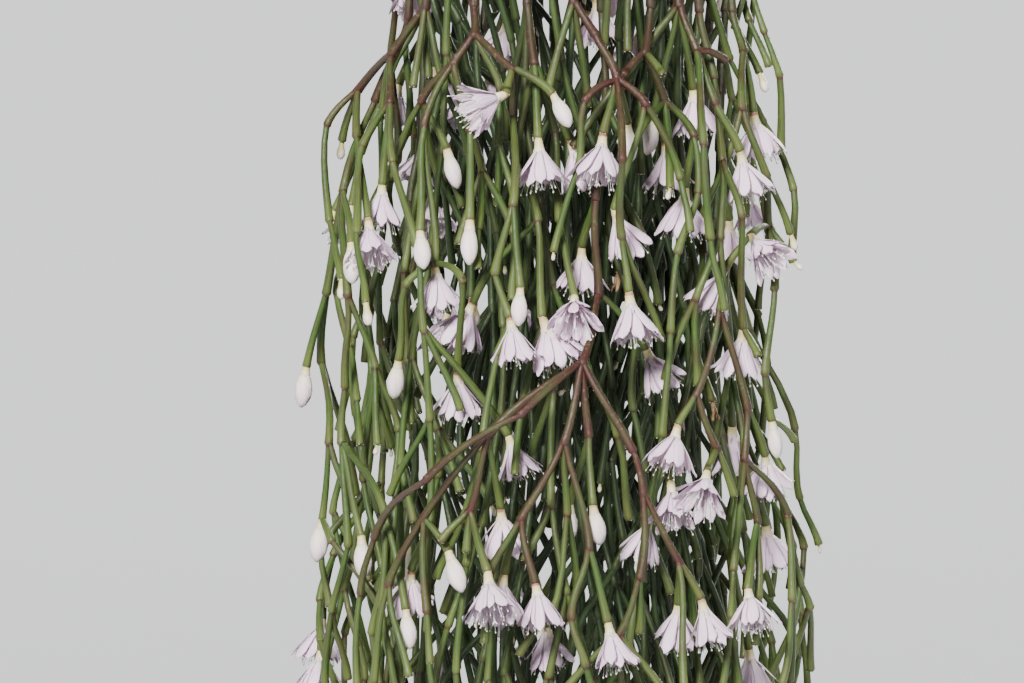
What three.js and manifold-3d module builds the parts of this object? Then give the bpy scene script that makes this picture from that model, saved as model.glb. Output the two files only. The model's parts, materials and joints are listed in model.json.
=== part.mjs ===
// A pendent cactus in a small hanging pot: club-shaped stem joints that fork in whorls and hang as a
// curtain, with white bell flowers and buds at their tips, rooted in soil in a plain tapered pot that
// a three-wire hanger carries.
// Millimetres, +Z up. The origin is where the hook bears on its rail, and the viewer stands at -Y.
import * as THREE from "three";
import { mergeVertices } from "three/addons/utils/BufferGeometryUtils.js";
import Module from "manifold-3d";

const wasm = await Module();
wasm.setup();

// Pot and soil
const RIM_Z = -230;
const POT_HEIGHT = 78;
const POT_BASE_Z = RIM_Z - POT_HEIGHT;
const POT_BASE_RADIUS = 28.5;
const POT_TOP_RADIUS = 38.5;
const POT_WALL = 2;
const POT_FLOOR = 2.4;
const POT_SIDES = 24;
const FOOT_HEIGHT = 1.8;
const FOOT_WIDTH = 4;
const LIP_RADIUS = 44.5;
const LIP_THICKNESS = 2.6;
const LIP_HOLE_RADIUS = 1.35;
const DRAIN_HOLES = 4;
const DRAIN_HOLE_RADIUS = 3;
const DRAIN_CIRCLE_RADIUS = 14;
const SOIL_DEPTH_BELOW_RIM = 9;
const SOIL_TOP_Z = RIM_Z - SOIL_DEPTH_BELOW_RIM;
const SOIL_CROWN = 2;
const SOIL_CROWN_RADIUS = 27.5;
const STEM_HOLE_RADIUS = 2.9;
const TOUCH_GAP = 0.3;

// Hanger
const HOOK_WIRE_RADIUS = 1.4;
const HOOK_INNER_RADIUS = 10;
const HOOK_TIP_ANGLE = 200;
const HOOK_STEPS = 14;
const HANGER_WIRE_RADIUS = 0.9;
const HANGER_CIRCLE_RADIUS = 41.6;
const WIRE_FACES = 6;
const FERRULE_RADIUS = 5;
const FERRULE_TOP_Z = -44;
const FERRULE_HEIGHT = 16;
const FERRULE_HOLE_DEPTH = 6;
const FERRULE_WIRE_CIRCLE = 2.7;
const FERRULE_SIDES = 12;
const WIRE_AZIMUTHS = [18, 138, 258];

// Plant
const STEM_FACES = 3;
const FACET_REACH = 1.2;
const STEM_GAP = 0.45;
const HANG_RADIUS = 51;
const FRONT_SHIFT = -3.3;
const FRONT_TOP_Z = POT_BASE_Z - 13;
const LOWEST_Z = FRONT_TOP_Z - 262;
const CLUB_BASE_RADIUS = 0.95;
const CLUB_TIP_RADIUS = 1.35;
const OLD_BASE_RADIUS = 1.3;
const OLD_TIP_RADIUS = 1.6;
const NECK_LENGTH = 3;
const ROOT_SUNK = 0.9;
const JOINT_STEP = 1.7;
const BOW_LIMIT = 1.7;
const LARGEST_TURN = 62;
const BLOOM_LENGTH = 15.5;
const BLOOM_RADIUS = 6.6;
const BLOOM_PETALS = 6;
const WAIST_REACH = 4.6;
const WAIST_RADIUS = 1.9;
const MOUTH_FLOOR = 6.4;
const FLOWER_SUNK = 1.3;
const BUD_LENGTH = 12.5;
const BUD_RADIUS = 2.7;
const BUD_FACES = 4;
const BLOOM_NODES = 41;
const SEED = 311;

// How stems grow: degrees for sweep and spread, millimetres for length, and droop as a pull downwards
const LEADER = { sweep: 60, spread: 9, droop: 0.45, length: 29, tries: 24 };
const SIDE_BRANCH = { sweep: 24, spread: 42, droop: 0.85, age: 0.25, tries: 14 };
const FURTHER_BRANCH = { sweep: 24, spread: 22, droop: 0.5, age: 0, tries: 14 };
const SIDE_LENGTHS = [19, 28];
const RIM_TWIG_LENGTHS = [16, 24];
const SOIL_TWIG_LENGTHS = [13, 18];
const FRONT_ENDS = [205, 250];
const BACK_ENDS = [205, 252];
const MOST_LEADER_JOINTS = 16;
const BRANCH_ORDERS = 2;
const ORDER_LOSS = 0.2;
const DOUBLE_FORK_SHARE = 0.36;
const FRONT_AGE = 0.7;
const FRONT_AGE_STEP = 0.13;
const FRONT_ARCH = 0.24;
const FLOWER_ARCH = 0.3;
const BLOOM_SCALES = [0.94, 1.06];
const SMALLER = 0.8;
const BUD_SCALES = [0.85, 1.05];
const SMALL_BUD_SCALES = [0.4, 0.55];

// Shares of tips that end in a bloom or a bud, of joints that fork again, and most side branches
const FRONT_SHARES = { bloom: 0.3, bud: 0.2, fork: 0.5, sides: 1.5 };
const BACK_SHARES = { bloom: 0.36, bud: 0.2, fork: 0.5, sides: 1.9 };
const RIM_SHARES = { bloom: 0.1, bud: 0.15, fork: 0.3 };
const LEADER_TIP_SHARES = { bloom: 0.45, bud: 0.3 };

const RAD = Math.PI / 180;

// Vectors as plain arrays
const add = (a, b) => [a[0] + b[0], a[1] + b[1], a[2] + b[2]];
const sub = (a, b) => [a[0] - b[0], a[1] - b[1], a[2] - b[2]];
const times = (a, k) => [a[0] * k, a[1] * k, a[2] * k];
const dot = (a, b) => a[0] * b[0] + a[1] * b[1] + a[2] * b[2];
const size = (a) => Math.sqrt(dot(a, a));
const unit = (a) => times(a, 1 / size(a));
const level = (a) => Math.sqrt(a[0] * a[0] + a[1] * a[1]);
const clamp = (x, low, high) => Math.min(high, Math.max(low, x));
const onCircle = (azimuth, radius, z) => [
  Math.sin(azimuth * RAD) * radius,
  -Math.cos(azimuth * RAD) * radius,
  z,
];

// A repeatable draw between low and high.
function randomSource(seed) {
  let state = seed;
  return (low, high) => {
    state = (state * 48271) % 2147483647;
    return low + ((high - low) * state) / 2147483647;
  };
}

// Shortest distance between the straight lines p to q and u to v.
function lineGap(p, q, u, v) {
  const d1 = sub(q, p);
  const d2 = sub(v, u);
  const r = sub(p, u);
  const a = dot(d1, d1);
  const e = dot(d2, d2);
  const f = dot(d2, r);
  const c = dot(d1, r);
  const b = dot(d1, d2);
  const spread = a * e - b * b;
  let s = spread > 1e-9 ? clamp((b * f - c * e) / spread, 0, 1) : 0;
  let t = (b * s + f) / e;
  if (t < 0) {
    t = 0;
    s = clamp(-c / a, 0, 1);
  } else if (t > 1) {
    t = 1;
    s = clamp((b - c) / a, 0, 1);
  }
  return size(sub(add(p, times(d1, s)), add(u, times(d2, t))));
}

// How far from the axis the curtain of stems reaches, as [drop below the front's top, radius].
const ENVELOPE = [
  [-60, 55],
  [0, 52],
  [25, 62],
  [60, 71],
  [190, 75],
  [225, 66],
  [262, 42],
];
function envelope(z) {
  const drop = FRONT_TOP_Z - z;
  if (drop <= ENVELOPE[0][0]) return ENVELOPE[0][1];
  for (let i = 1; i < ENVELOPE.length; i++) {
    const [d0, r0] = ENVELOPE[i - 1];
    const [d1, r1] = ENVELOPE[i];
    if (drop <= d1) return r0 + ((r1 - r0) * (drop - d0)) / (d1 - d0);
  }
  return ENVELOPE[ENVELOPE.length - 1][1];
}

// The plant as it grows: joints are the places where stems meet, stems run from joint to joint, and
// bars and balls are the room that stems, flowers and hanger wires take up.
const joints = [];
const stems = [];
const flowers = [];
const bars = [];
const balls = [];

// True where the pot and its lip leave no room.
function hitsPot(p, radius) {
  if (p[2] > RIM_Z + 4 || p[2] < POT_BASE_Z - 3) return false;
  const share = clamp(((p[2] - POT_BASE_Z) / POT_HEIGHT) * 1.15, 0, 1);
  const reach = POT_BASE_RADIUS + 2 + (LIP_RADIUS - POT_BASE_RADIUS - 2) * share;
  return level(p) < reach + radius + 1.5;
}

// True if a stem from p to q has room. Bars that share its joint are passed over, and so are those
// of its own spray where it may rest on them.
function barFits(p, q, radius, joint, spray, mayTouchOwn) {
  const thick = radius * FACET_REACH;
  for (const bar of bars) {
    if (joint >= 0 && (bar.from === joint || bar.to === joint)) continue;
    if (mayTouchOwn && bar.spray === spray) continue;
    const need = thick + bar.radius * FACET_REACH + STEM_GAP;
    if (Math.min(p[2], q[2]) > Math.max(bar.p[2], bar.q[2]) + need) continue;
    if (Math.max(p[2], q[2]) < Math.min(bar.p[2], bar.q[2]) - need) continue;
    if (lineGap(p, q, bar.p, bar.q) < need) return false;
  }
  for (const ball of balls) {
    const need = thick + ball.radius + STEM_GAP;
    if (lineGap(p, q, ball.p, add(ball.p, [0, 0, 0.01])) < need) return false;
  }
  return true;
}

function ballFits(p, radius, joint) {
  for (const bar of bars) {
    if (bar.from === joint || bar.to === joint) continue;
    const need = radius + bar.radius * FACET_REACH + STEM_GAP;
    if (lineGap(bar.p, bar.q, p, add(p, [0, 0, 0.01])) < need) return false;
  }
  for (const ball of balls) {
    if (size(sub(ball.p, p)) < radius + ball.radius + STEM_GAP) return false;
  }
  return !hitsPot(p, radius);
}

function addJoint(p, dir, spray, age) {
  joints.push({ p, dir, spray, age, children: 0 });
  return joints.length - 1;
}

const middleOf = (start, pull, end) => add(add(times(start, 0.25), times(pull, 0.5)), times(end, 0.25));

// A stem as a curve of second order from a joint, drawn towards its pull point, to a new joint.
function addStem(from, pull, end, baseRadius, tipRadius, age) {
  const start = joints[from];
  const mid = middleOf(start.p, pull, end);
  const to = addJoint(end, unit(sub(end, pull)), start.spray, age);
  start.children += 1;
  stems.push({ from, to, pull, mid, baseRadius, tipRadius, age, spray: start.spray });
  bars.push({ p: start.p, q: mid, radius: tipRadius, from, to: -1, spray: start.spray });
  bars.push({ p: mid, q: end, radius: tipRadius, from: -1, to, spray: start.spray });
  return to;
}

function stemFits(from, pull, end, radius, mayTouchOwn) {
  const start = joints[from];
  const mid = middleOf(start.p, pull, end);
  if (hitsPot(mid, radius) || hitsPot(end, radius)) return false;
  return (
    barFits(start.p, mid, radius, from, start.spray, mayTouchOwn) &&
    barFits(mid, end, radius, -1, start.spray, mayTouchOwn)
  );
}

// Older stems are stouter and less club-shaped.
const baseRadiusAt = (age) => CLUB_BASE_RADIUS + (OLD_BASE_RADIUS - CLUB_BASE_RADIUS) * age;
const tipRadiusAt = (age) => CLUB_TIP_RADIUS + (OLD_TIP_RADIUS - CLUB_TIP_RADIUS) * age;

// The room that a flower takes along its axis, as [distance from its seat, radius].
const ROOM = {
  bloom: [[4.6, 2], [8.6, 3.3], [12.2, 4.9], [15.4, 6.1]],
  bud: [[4, 1.8], [8.6, 2.7], [11.5, 2]],
};

function addFlower(joint, kind, dir, scale) {
  const { p, spray } = joints[joint];
  for (const [reach, radius] of ROOM[kind]) {
    if (!ballFits(add(p, times(dir, reach * scale)), radius * scale, joint)) return false;
  }
  for (const [reach, radius] of ROOM[kind]) {
    balls.push({ p: add(p, times(dir, reach * scale)), radius: radius * scale });
  }
  flowers.push({ joint, kind, dir, scale, spray });
  return true;
}

// A flower at a tip nods to the ground, and turns away from what stands in its way.
function placeFlower(random, joint, kind, scale) {
  const { dir } = joints[joint];
  for (let attempt = 0; attempt < 14; attempt++) {
    const turn = random(0, 360) * RAD;
    const lean = random(0, 0.16 + 0.07 * attempt);
    const nod = [Math.cos(turn) * lean, Math.sin(turn) * lean, -0.4];
    if (addFlower(joint, kind, unit(add(times(dir, 0.9), nod)), scale)) return true;
  }
  return false;
}

// A new stem that leaves a joint at an angle, bends down under its weight and finds free room.
function sprout(random, from, wish) {
  const start = joints[from];
  for (let attempt = 0; attempt < wish.tries; attempt++) {
    const azimuth = (wish.azimuth + random(-1, 1) * (wish.sweep + 9 * attempt)) * RAD;
    const spread = (wish.spread + random(-1, 1) * (6 + attempt)) * RAD;
    const length = wish.length * random(0.82, 1.18) * (1 - 0.02 * attempt);
    const flat = [Math.sin(azimuth), -Math.cos(azimuth), 0];
    const side = unit(sub(flat, times(start.dir, dot(flat, start.dir) * 0.999)));
    const out = unit(add(times(start.dir, Math.cos(spread)), times(side, Math.sin(spread))));
    const down = unit(add(out, [0, 0, -wish.droop]));
    const pull = add(start.p, times(out, length / 2));
    const end = add(pull, times(down, length / 2));
    if (level(end) > envelope(end[2]) + random(-3, 3) || end[2] < LOWEST_Z) continue;
    if (!stemFits(from, pull, end, tipRadiusAt(wish.age), false)) continue;
    return addStem(from, pull, end, baseRadiusAt(wish.age), tipRadiusAt(wish.age), wish.age);
  }
  return -1;
}

// Ends a branch with a bloom, a bud or nothing.
function endBranch(random, joint, shares) {
  const draw = random(0, 1);
  const scale = random(0.88, 1.06);
  if (draw < shares.bloom && placeFlower(random, joint, "bloom", scale)) return;
  if (draw < shares.bloom + shares.bud) placeFlower(random, joint, "bud", scale * random(0.5, 1));
}

// A side branch: a few joints that fork now and then, each shorter than the last.
function branch(random, from, azimuth, order, length, shares) {
  const habit = order === 0 ? SIDE_BRANCH : FURTHER_BRANCH;
  const to = sprout(random, from, { ...habit, azimuth, length });
  if (to < 0) return;
  if (order < BRANCH_ORDERS && random(0, 1) < shares.fork - ORDER_LOSS * order) {
    const forks = random(0, 1) < DOUBLE_FORK_SHARE ? 2 : 1;
    const turn = random(0, 360);
    for (let i = 0; i < forks; i++) {
      branch(random, to, turn + (i * 360) / forks, order + 1, length * random(0.72, 0.98), shares);
    }
  }
  if (joints[to].children === 0) endBranch(random, to, shares);
}

// A leading stem hangs from joint to joint down to its own end, and throws side branches on the way.
function lead(random, from, endZ, layer, shares) {
  let joint = from;
  for (let step = 0; step < MOST_LEADER_JOINTS; step++) {
    const { p, age } = joints[joint];
    if (p[2] < endZ) break;
    const around = Math.atan2(p[0], -p[1]) / RAD;
    const wanted = (envelope(p[2] - LEADER.length - 1) - 4) * layer;
    const azimuth = around + (level(p) > wanted ? 180 : 0);
    const younger = Math.max(0, age - random(0.04, 0.16));
    const next = sprout(random, joint, { ...LEADER, azimuth, age: younger });
    const sides = Math.floor(random(0, 1) * shares.sides);
    const turn = random(0, 360);
    for (let i = 0; i < sides; i++) {
      branch(random, joint, turn + (i * 360) / sides, 0, random(...SIDE_LENGTHS), shares);
    }
    if (next < 0) break;
    joint = next;
  }
  if (joints[joint].children === 0) endBranch(random, joint, LEADER_TIP_SHARES);
}

// Hand-laid front stems, as the viewer sees them. Each joint is its sideways place, its drop below
// the front's top and what leaves it, and a word ends a tip.
const at = (x, drop, ...next) => ({ x, drop, next, back: 0 });
const deeper = (back, node) => ({ ...node, back });
const HANG = "hangs on";
const BLOOM = "bloom";
const BUD = "bud";
const SMALL = "small bud";
const LEFT = "bloom to the left";
const RIGHT = "bloom to the right";
const LEFTWARD = [-0.85, -0.3, -0.42];
const RIGHTWARD = [0.5, -0.6, -0.62];

const leftArch = at(-38, 0, at(-48, 13,
  at(-58, 22,
    at(-67, 32, at(-66, 60, at(-62, 77, SMALL))),
    at(-58, 36, at(-54, 60, BLOOM)),
    at(-63, 36, SMALL)),
  at(-48, 27,
    at(-47, 44, at(-40, 68, at(-38, 92, HANG))),
    at(-56, 39, at(-57, 64, at(-54, 84, SMALL))))));

const leftEdge = at(-43, 2, at(-53, 25, at(-62, 52,
  at(-67, 81, at(-73, 102, BUD), at(-69, 101, at(-66, 124, at(-68, 146, BUD, at(-65, 152))))),
  at(-60, 82, at(-61, 108, at(-62, 124,
    at(-56, 150, BUD),
    at(-49, 144, at(-50, 170, HANG)),
    at(-60, 153, at(-65, 172, at(-67, 196, HANG)))))))));

const middleFork = at(-24, 0, at(-24, 9,
  at(-30, 17,
    at(-38, 34,
      at(-39, 64, BUD),
      at(-35, 73, BLOOM, at(-43, 79), at(-27, 78))),
    at(-25, 36, at(-25, 61, BUD)),
    at(-39, 27)),
  at(-13, 19,
    at(-2, 26, BUD),
    at(-15, 26, LEFT),
    at(-13, 31, at(-13, 57, at(-18, 76, at(-14, 88, BLOOM)), at(-11, 80, BUD))))));

const whiteCluster = at(-9, 0, at(-7, 17,
  at(-6, 38, BLOOM),
  deeper(9, at(3, 38, BLOOM)),
  at(-12, 44, at(-6, 61, at(-5, 88, BLOOM))),
  at(-1, 36, at(0, 61, at(4, 82, BLOOM)))));

const redStem = at(4, 0, at(10, 9, at(16, 22,
  at(12, 37, BLOOM),
  at(19, 34, BUD),
  at(24, 29),
  at(7, 28),
  at(17, 45, at(17, 66, at(19, 81, BLOOM))))));

const rightFork = at(26, 0, at(24, 14,
  at(18, 20),
  at(29, 20),
  at(30, 27,
    at(22, 37, SMALL),
    at(38, 37, at(39, 53, at(33, 70, at(31, 92, HANG)))),
    at(31, 52))));

const rightBell = at(34, 0, at(39, 13,
  at(47, 15),
  at(44, 28, at(51, 41, BLOOM)),
  at(40, 40, at(42, 66, at(46, 86)))));

const rightEdge = at(50, 0, at(53, 12, at(52, 29, at(59, 48,
  at(66, 64, SMALL),
  at(60, 62,
    at(67, 72),
    at(61, 80, at(58, 104, at(60, 117, BUD, at(67, 123)))),
    at(54, 65, RIGHT))))));

const rightLong = at(40, 1, at(44, 20, at(46, 44, at(45, 66, at(45, 86,
  at(38, 110,
    at(33, 118, BLOOM),
    at(30, 125, at(31, 134, BLOOM)),
    at(44, 125, at(49, 138), at(41, 131, BLOOM))),
  at(53, 114, at(52, 128,
    at(49, 159, at(48, 172, at(45, 195, HANG), at(51, 195, HANG))),
    at(56, 146, at(56, 167, at(55, 180))),
    at(65, 144, at(69, 164, at(72, 171)), at(66, 168, at(63, 192, HANG))))))),
  at(51, 60, deeper(6, at(52, 91, BLOOM, at(56, 99)))))));

const brownSpray = at(12, 1, at(13, 28, at(10, 55, at(11, 82, at(6, 101,
  at(-20, 121,
    at(-38, 144,
      at(-48, 163, at(-52, 190, HANG), at(-42, 188, HANG)),
      at(-37, 170, at(-36, 184)),
      at(-31, 153, BUD)),
    at(-25, 142, at(-33, 150), at(-26, 153), at(-20, 158, BLOOM))),
  at(-11, 115, at(-37, 133, at(-52, 150, at(-56, 166, at(-57, 192, HANG))))),
  at(1, 123,
    at(-11, 144,
      at(-20, 161, at(-21, 178)),
      at(-7, 161, BLOOM)),
    at(8, 152,
      at(3, 171, at(7, 184, HANG)),
      at(13, 172, BLOOM))),
  at(20, 125, at(23, 137,
    at(22, 160, at(16, 176, at(1, 192, HANG), at(18, 198, HANG), at(29, 192, HANG))),
    at(33, 156, at(39, 166, BLOOM), at(34, 190, HANG)))),
  at(8, 121, at(9, 140, BUD)))))));

// How far out each hand-laid stem hangs, as a share of the envelope: 1 is the very front.
const FRONT_STEMS = [
  { tree: leftEdge, layer: 0.9 },
  { tree: leftArch, layer: 1 },
  { tree: middleFork, layer: 1 },
  { tree: whiteCluster, layer: 0.9 },
  { tree: redStem, layer: 1 },
  { tree: brownSpray, layer: 0.76 },
  { tree: rightFork, layer: 0.88 },
  { tree: rightBell, layer: 1 },
  { tree: rightLong, layer: 0.94 },
  { tree: rightEdge, layer: 0.97 },
];
// Below this drop the brown spray comes forward, in front of its neighbours.
const SPRAY_LAYER = 0.8;
const SPRAY_DROP = 90;
const FORWARD_LAYER = 1.04;

// Flowers that hang between the hand-laid stems: sideways place, drop of the seat, layer.
const DEEPER_FLOWERS = [
  [11, -3, 0.8, BLOOM], [56, 29, 0.75, BLOOM], [30, 38, 0.65, BLOOM], [15, 58, 0.8, BLOOM],
  [6, 68, 0.75, BLOOM], [35, 51, 0.8, BLOOM], [49, 60, 0.75, BLOOM], [47, 74, 0.8, BLOOM],
  [39, 83, 0.85, BLOOM], [-17, 141, 0.9, BLOOM], [-14, 121, 0.75, BLOOM], [-29, 103, 0.75, BLOOM],
  [-42, 159, 0.95, BLOOM], [-16, 159, 0.95, BLOOM], [-43, 170, 0.8, BUD], [34, 168, 0.95, BLOOM],
  [52, 164, 0.9, BLOOM], [58, 127, 0.85, BLOOM], [39, 23, 0.75, BLOOM], [21, 166, 0.8, BLOOM],
  [26, 145, 0.75, BLOOM], [24, 97, 0.7, BLOOM], [36, 101, 0.6, BLOOM], [-51, 50, 0.75, BLOOM],
  [-58, 67, 0.8, BUD], [-46, 100, 0.85, BUD], [-31, 40, 0.7, BUD], [-47, 138, 0.85, BUD],
  [28, 30, 0.7, BUD], [2, 140, 0.75, BUD], [-3, 174, 0.9, BLOOM], [-24, 84, 0.7, BLOOM],
];

// The depth of a front joint: on the envelope's front at its layer.
function frontDepth(x, drop, layer) {
  const radius = envelope(FRONT_TOP_Z - drop);
  return -layer * Math.sqrt(Math.max(radius * radius - x * x, 60));
}

// Lays one joint of a front stem at the free depth nearest to its own, then what grows from it.
function layFront(random, from, node, layer, age) {
  const start = joints[from];
  const own = layer < SPRAY_LAYER && node.drop > SPRAY_DROP ? FORWARD_LAYER : layer;
  const x = node.x + FRONT_SHIFT;
  const wanted = frontDepth(x, node.drop, own) + node.back;
  let to = -1;
  for (let attempt = 0; attempt < 50 && to < 0; attempt++) {
    const turnTaken = attempt % 25;
    const shift = Math.ceil(turnTaken / 2) * 1.6 * (turnTaken % 2 ? 1 : -1);
    const end = [x, wanted + shift, FRONT_TOP_Z - node.drop];
    const chord = sub(end, start.p);
    const pull = add(times(add(start.p, end), 0.5), [0, 0, FRONT_ARCH * level(chord)]);
    if (!stemFits(from, pull, end, tipRadiusAt(age), attempt > 24)) continue;
    to = addStem(from, pull, end, baseRadiusAt(age), tipRadiusAt(age), age);
  }
  if (to < 0) return;
  for (const next of node.next) {
    if (typeof next === "object") layFront(random, to, next, own, Math.max(0, age - FRONT_AGE_STEP));
  }
  for (const next of node.next) {
    if (next === BLOOM) {
      const scale = random(...BLOOM_SCALES);
      if (!placeFlower(random, to, "bloom", scale)) placeFlower(random, to, "bloom", scale * SMALLER);
    }
    if (next === BUD) placeFlower(random, to, "bud", random(...BUD_SCALES));
    if (next === SMALL) placeFlower(random, to, "bud", random(...SMALL_BUD_SCALES));
    if (next === LEFT) addFlower(to, "bloom", unit(LEFTWARD), 1);
    if (next === RIGHT) addFlower(to, "bloom", unit(RIGHTWARD), 1);
    if (next === HANG) lead(random, to, FRONT_TOP_Z - random(...FRONT_ENDS), own, FRONT_SHARES);
  }
}

// Hangs one flower on a new twig from the nearest joint above its seat that leaves room for both.
function hangFlower(random, [x, drop, layer, kind]) {
  const z = FRONT_TOP_Z - drop;
  const wanted = frontDepth(x + FRONT_SHIFT, drop, layer);
  const options = [];
  joints.forEach((joint, index) => {
    const rise = joint.p[2] - z;
    if (rise < 5 || rise > 34 || joint.children > 3) return;
    const aside = [joint.p[0] - x - FRONT_SHIFT, joint.p[1] - wanted];
    const gap = Math.sqrt(aside[0] * aside[0] + aside[1] * aside[1]);
    if (gap < 4 + rise * 0.8) options.push([gap + Math.abs(rise - 18) * 0.5, index]);
  });
  options.sort((a, b) => a[0] - b[0] || a[1] - b[1]);
  for (const [, from] of options.slice(0, 14)) {
    for (let attempt = 0; attempt < 9; attempt++) {
      const shift = Math.ceil(attempt / 2) * 2 * (attempt % 2 ? 1 : -1);
      const end = [x + FRONT_SHIFT + random(-1, 1), wanted + shift, z];
      const chord = sub(end, joints[from].p);
      const pull = add(times(add(joints[from].p, end), 0.5), [0, 0, FLOWER_ARCH * level(chord)]);
      if (!stemFits(from, pull, end, CLUB_TIP_RADIUS, false)) continue;
      const room = ROOM[kind].every(([reach, radius]) => ballFits(add(end, [0, 0, -reach]), radius, -1));
      if (!room) continue;
      const to = addStem(from, pull, end, CLUB_BASE_RADIUS, CLUB_TIP_RADIUS, 0);
      placeFlower(random, to, kind, random(0.9, 1.03));
      return;
    }
  }
}

// A main stem's arch over the rim, as [distance from the axis, height over the rim].
const ARCH = [
  [35, 24],
  [47, 19],
  [HANG_RADIUS, -4],
  [HANG_RADIUS + 1, -33],
  [HANG_RADIUS, -61],
];
const ROOT_DEPTH = 12;
const FORK_HEIGHT = 9;
const ROOT_RADII = [24, 15];
const BACK_CLUMPS = 7;
const BACK_FROM = 85.5;
const BACK_TO = 280.5;
// Which front stems rise from one rooted clump.
const FRONT_CLUMPS = [[0, 1], [2, 3], [4, 5], [6, 7], [8, 9]];

// A stem that rises from the clump's fork, arches over the rim and hangs beside the pot.
function arch(random, fork, clumpAzimuth, azimuth) {
  const rise = random(-4, 13);
  const wide = random(-0.5, 2.5);
  let joint = fork;
  ARCH.forEach(([radius, height], i) => {
    const turn = clumpAzimuth + (azimuth - clumpAzimuth) * clamp((i + 1) / 3, 0, 1);
    const end = onCircle(turn + random(-1, 1), radius + wide, RIM_Z + height + (i < 2 ? rise : 0));
    const start = joints[joint];
    const chord = sub(end, start.p);
    const pull = add(add(start.p, times(chord, 0.5)), times(start.dir, size(chord) * 0.16));
    const age = 1 - 0.06 * i;
    joint = addStem(joint, pull, end, baseRadiusAt(age), tipRadiusAt(age), age);
  });
  return joint;
}

// The hanger wires' course: [distance from the axis, height]. It hooks under and round the lip.
const LIP_UNDER_Z = RIM_Z - LIP_THICKNESS;
const WIRE_COURSE = [
  [FERRULE_WIRE_CIRCLE, FERRULE_TOP_Z - FERRULE_HEIGHT + FERRULE_HOLE_DEPTH - TOUCH_GAP],
  [FERRULE_WIRE_CIRCLE, FERRULE_TOP_Z - FERRULE_HEIGHT - 2],
  [HANGER_CIRCLE_RADIUS, RIM_Z + 7],
  [HANGER_CIRCLE_RADIUS, LIP_UNDER_Z - 0.6],
  [HANGER_CIRCLE_RADIUS + 0.8, LIP_UNDER_Z - 1.4],
  [HANGER_CIRCLE_RADIUS + 3.9, LIP_UNDER_Z - 1.4],
  [HANGER_CIRCLE_RADIUS + 4.7, LIP_UNDER_Z - 0.6],
  [HANGER_CIRCLE_RADIUS + 4.7, RIM_Z + 3],
];

function growPlant() {
  const random = randomSource(SEED);
  for (const azimuth of WIRE_AZIMUTHS) {
    for (let i = 1; i < WIRE_COURSE.length; i++) {
      const p = onCircle(azimuth, ...WIRE_COURSE[i - 1]);
      const q = onCircle(azimuth, ...WIRE_COURSE[i]);
      bars.push({ p, q, radius: HANGER_WIRE_RADIUS, from: -1, to: -1, spray: -1 });
    }
  }
  const mains = [];
  const clumps = FRONT_CLUMPS.map((members) => members.map((m) => {
    const x = FRONT_STEMS[m].tree.x + FRONT_SHIFT;
    return { azimuth: Math.asin(clamp(x / HANG_RADIUS, -1, 1)) / RAD, front: FRONT_STEMS[m] };
  }));
  const step = (BACK_TO - BACK_FROM) / (BACK_CLUMPS * 2 - 1);
  for (let clump = 0; clump < BACK_CLUMPS; clump++) {
    const first = BACK_FROM + step * 2 * clump;
    clumps.push([{ azimuth: first, layer: 0.82 }, { azimuth: first + step, layer: 0.98 }]);
  }
  clumps.forEach((members, spray) => {
    const middle = (members[0].azimuth + members[1].azimuth) / 2;
    const radius = ROOT_RADII[spray % 2];
    const root = addJoint(onCircle(middle, radius - 0.3, SOIL_TOP_Z - ROOT_DEPTH), [0, 0, 1], spray, 1);
    const top = onCircle(middle, radius, RIM_Z + FORK_HEIGHT);
    const pull = add(joints[root].p, [0, 0, 14]);
    const fork = addStem(root, pull, top, OLD_BASE_RADIUS * 1.2, OLD_TIP_RADIUS * 1.15, 1);
    for (const member of members) {
      mains.push({ ...member, fork, joint: arch(random, fork, middle, member.azimuth) });
    }
  });
  const fronts = mains.filter((m) => m.front).sort((a, b) => b.front.layer - a.front.layer);
  for (const { joint, front } of fronts) layFront(random, joint, front.tree, front.layer, FRONT_AGE);
  for (const flower of DEEPER_FLOWERS) hangFlower(random, flower);
  for (const { joint, layer } of mains.filter((m) => !m.front)) {
    lead(random, joint, FRONT_TOP_Z - random(...BACK_ENDS), layer, BACK_SHARES);
  }
  // Short twigs beside the pot and over the soil
  for (const { joint, fork } of mains) {
    const above = stems.find((stem) => stem.to === joint).from;
    branch(random, above, random(0, 360), 0, random(...RIM_TWIG_LENGTHS), RIM_SHARES);
    if (joints[fork].children < 4) {
      branch(random, fork, random(0, 360), 1, random(...SOIL_TWIG_LENGTHS), RIM_SHARES);
    }
  }
}

// Solids from three.js geometry: only positions are kept, with shared corners merged.
function solid(geometry) {
  geometry.deleteAttribute("normal");
  geometry.deleteAttribute("uv");
  const merged = mergeVertices(geometry, 1e-4);
  return new wasm.Manifold(
    new wasm.Mesh({
      numProp: 3,
      vertProperties: new Float32Array(merged.attributes.position.array),
      triVerts: new Uint32Array(merged.index.array),
    }),
  );
}

function meshOf(name, shape, material) {
  const raw = shape.getMesh();
  const geometry = new THREE.BufferGeometry();
  geometry.setAttribute("position", new THREE.BufferAttribute(new Float32Array(raw.vertProperties), 3));
  geometry.setIndex(new THREE.BufferAttribute(new Uint32Array(raw.triVerts), 1));
  geometry.computeVertexNormals();
  const mesh = new THREE.Mesh(geometry, material);
  mesh.name = name;
  return mesh;
}

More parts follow.
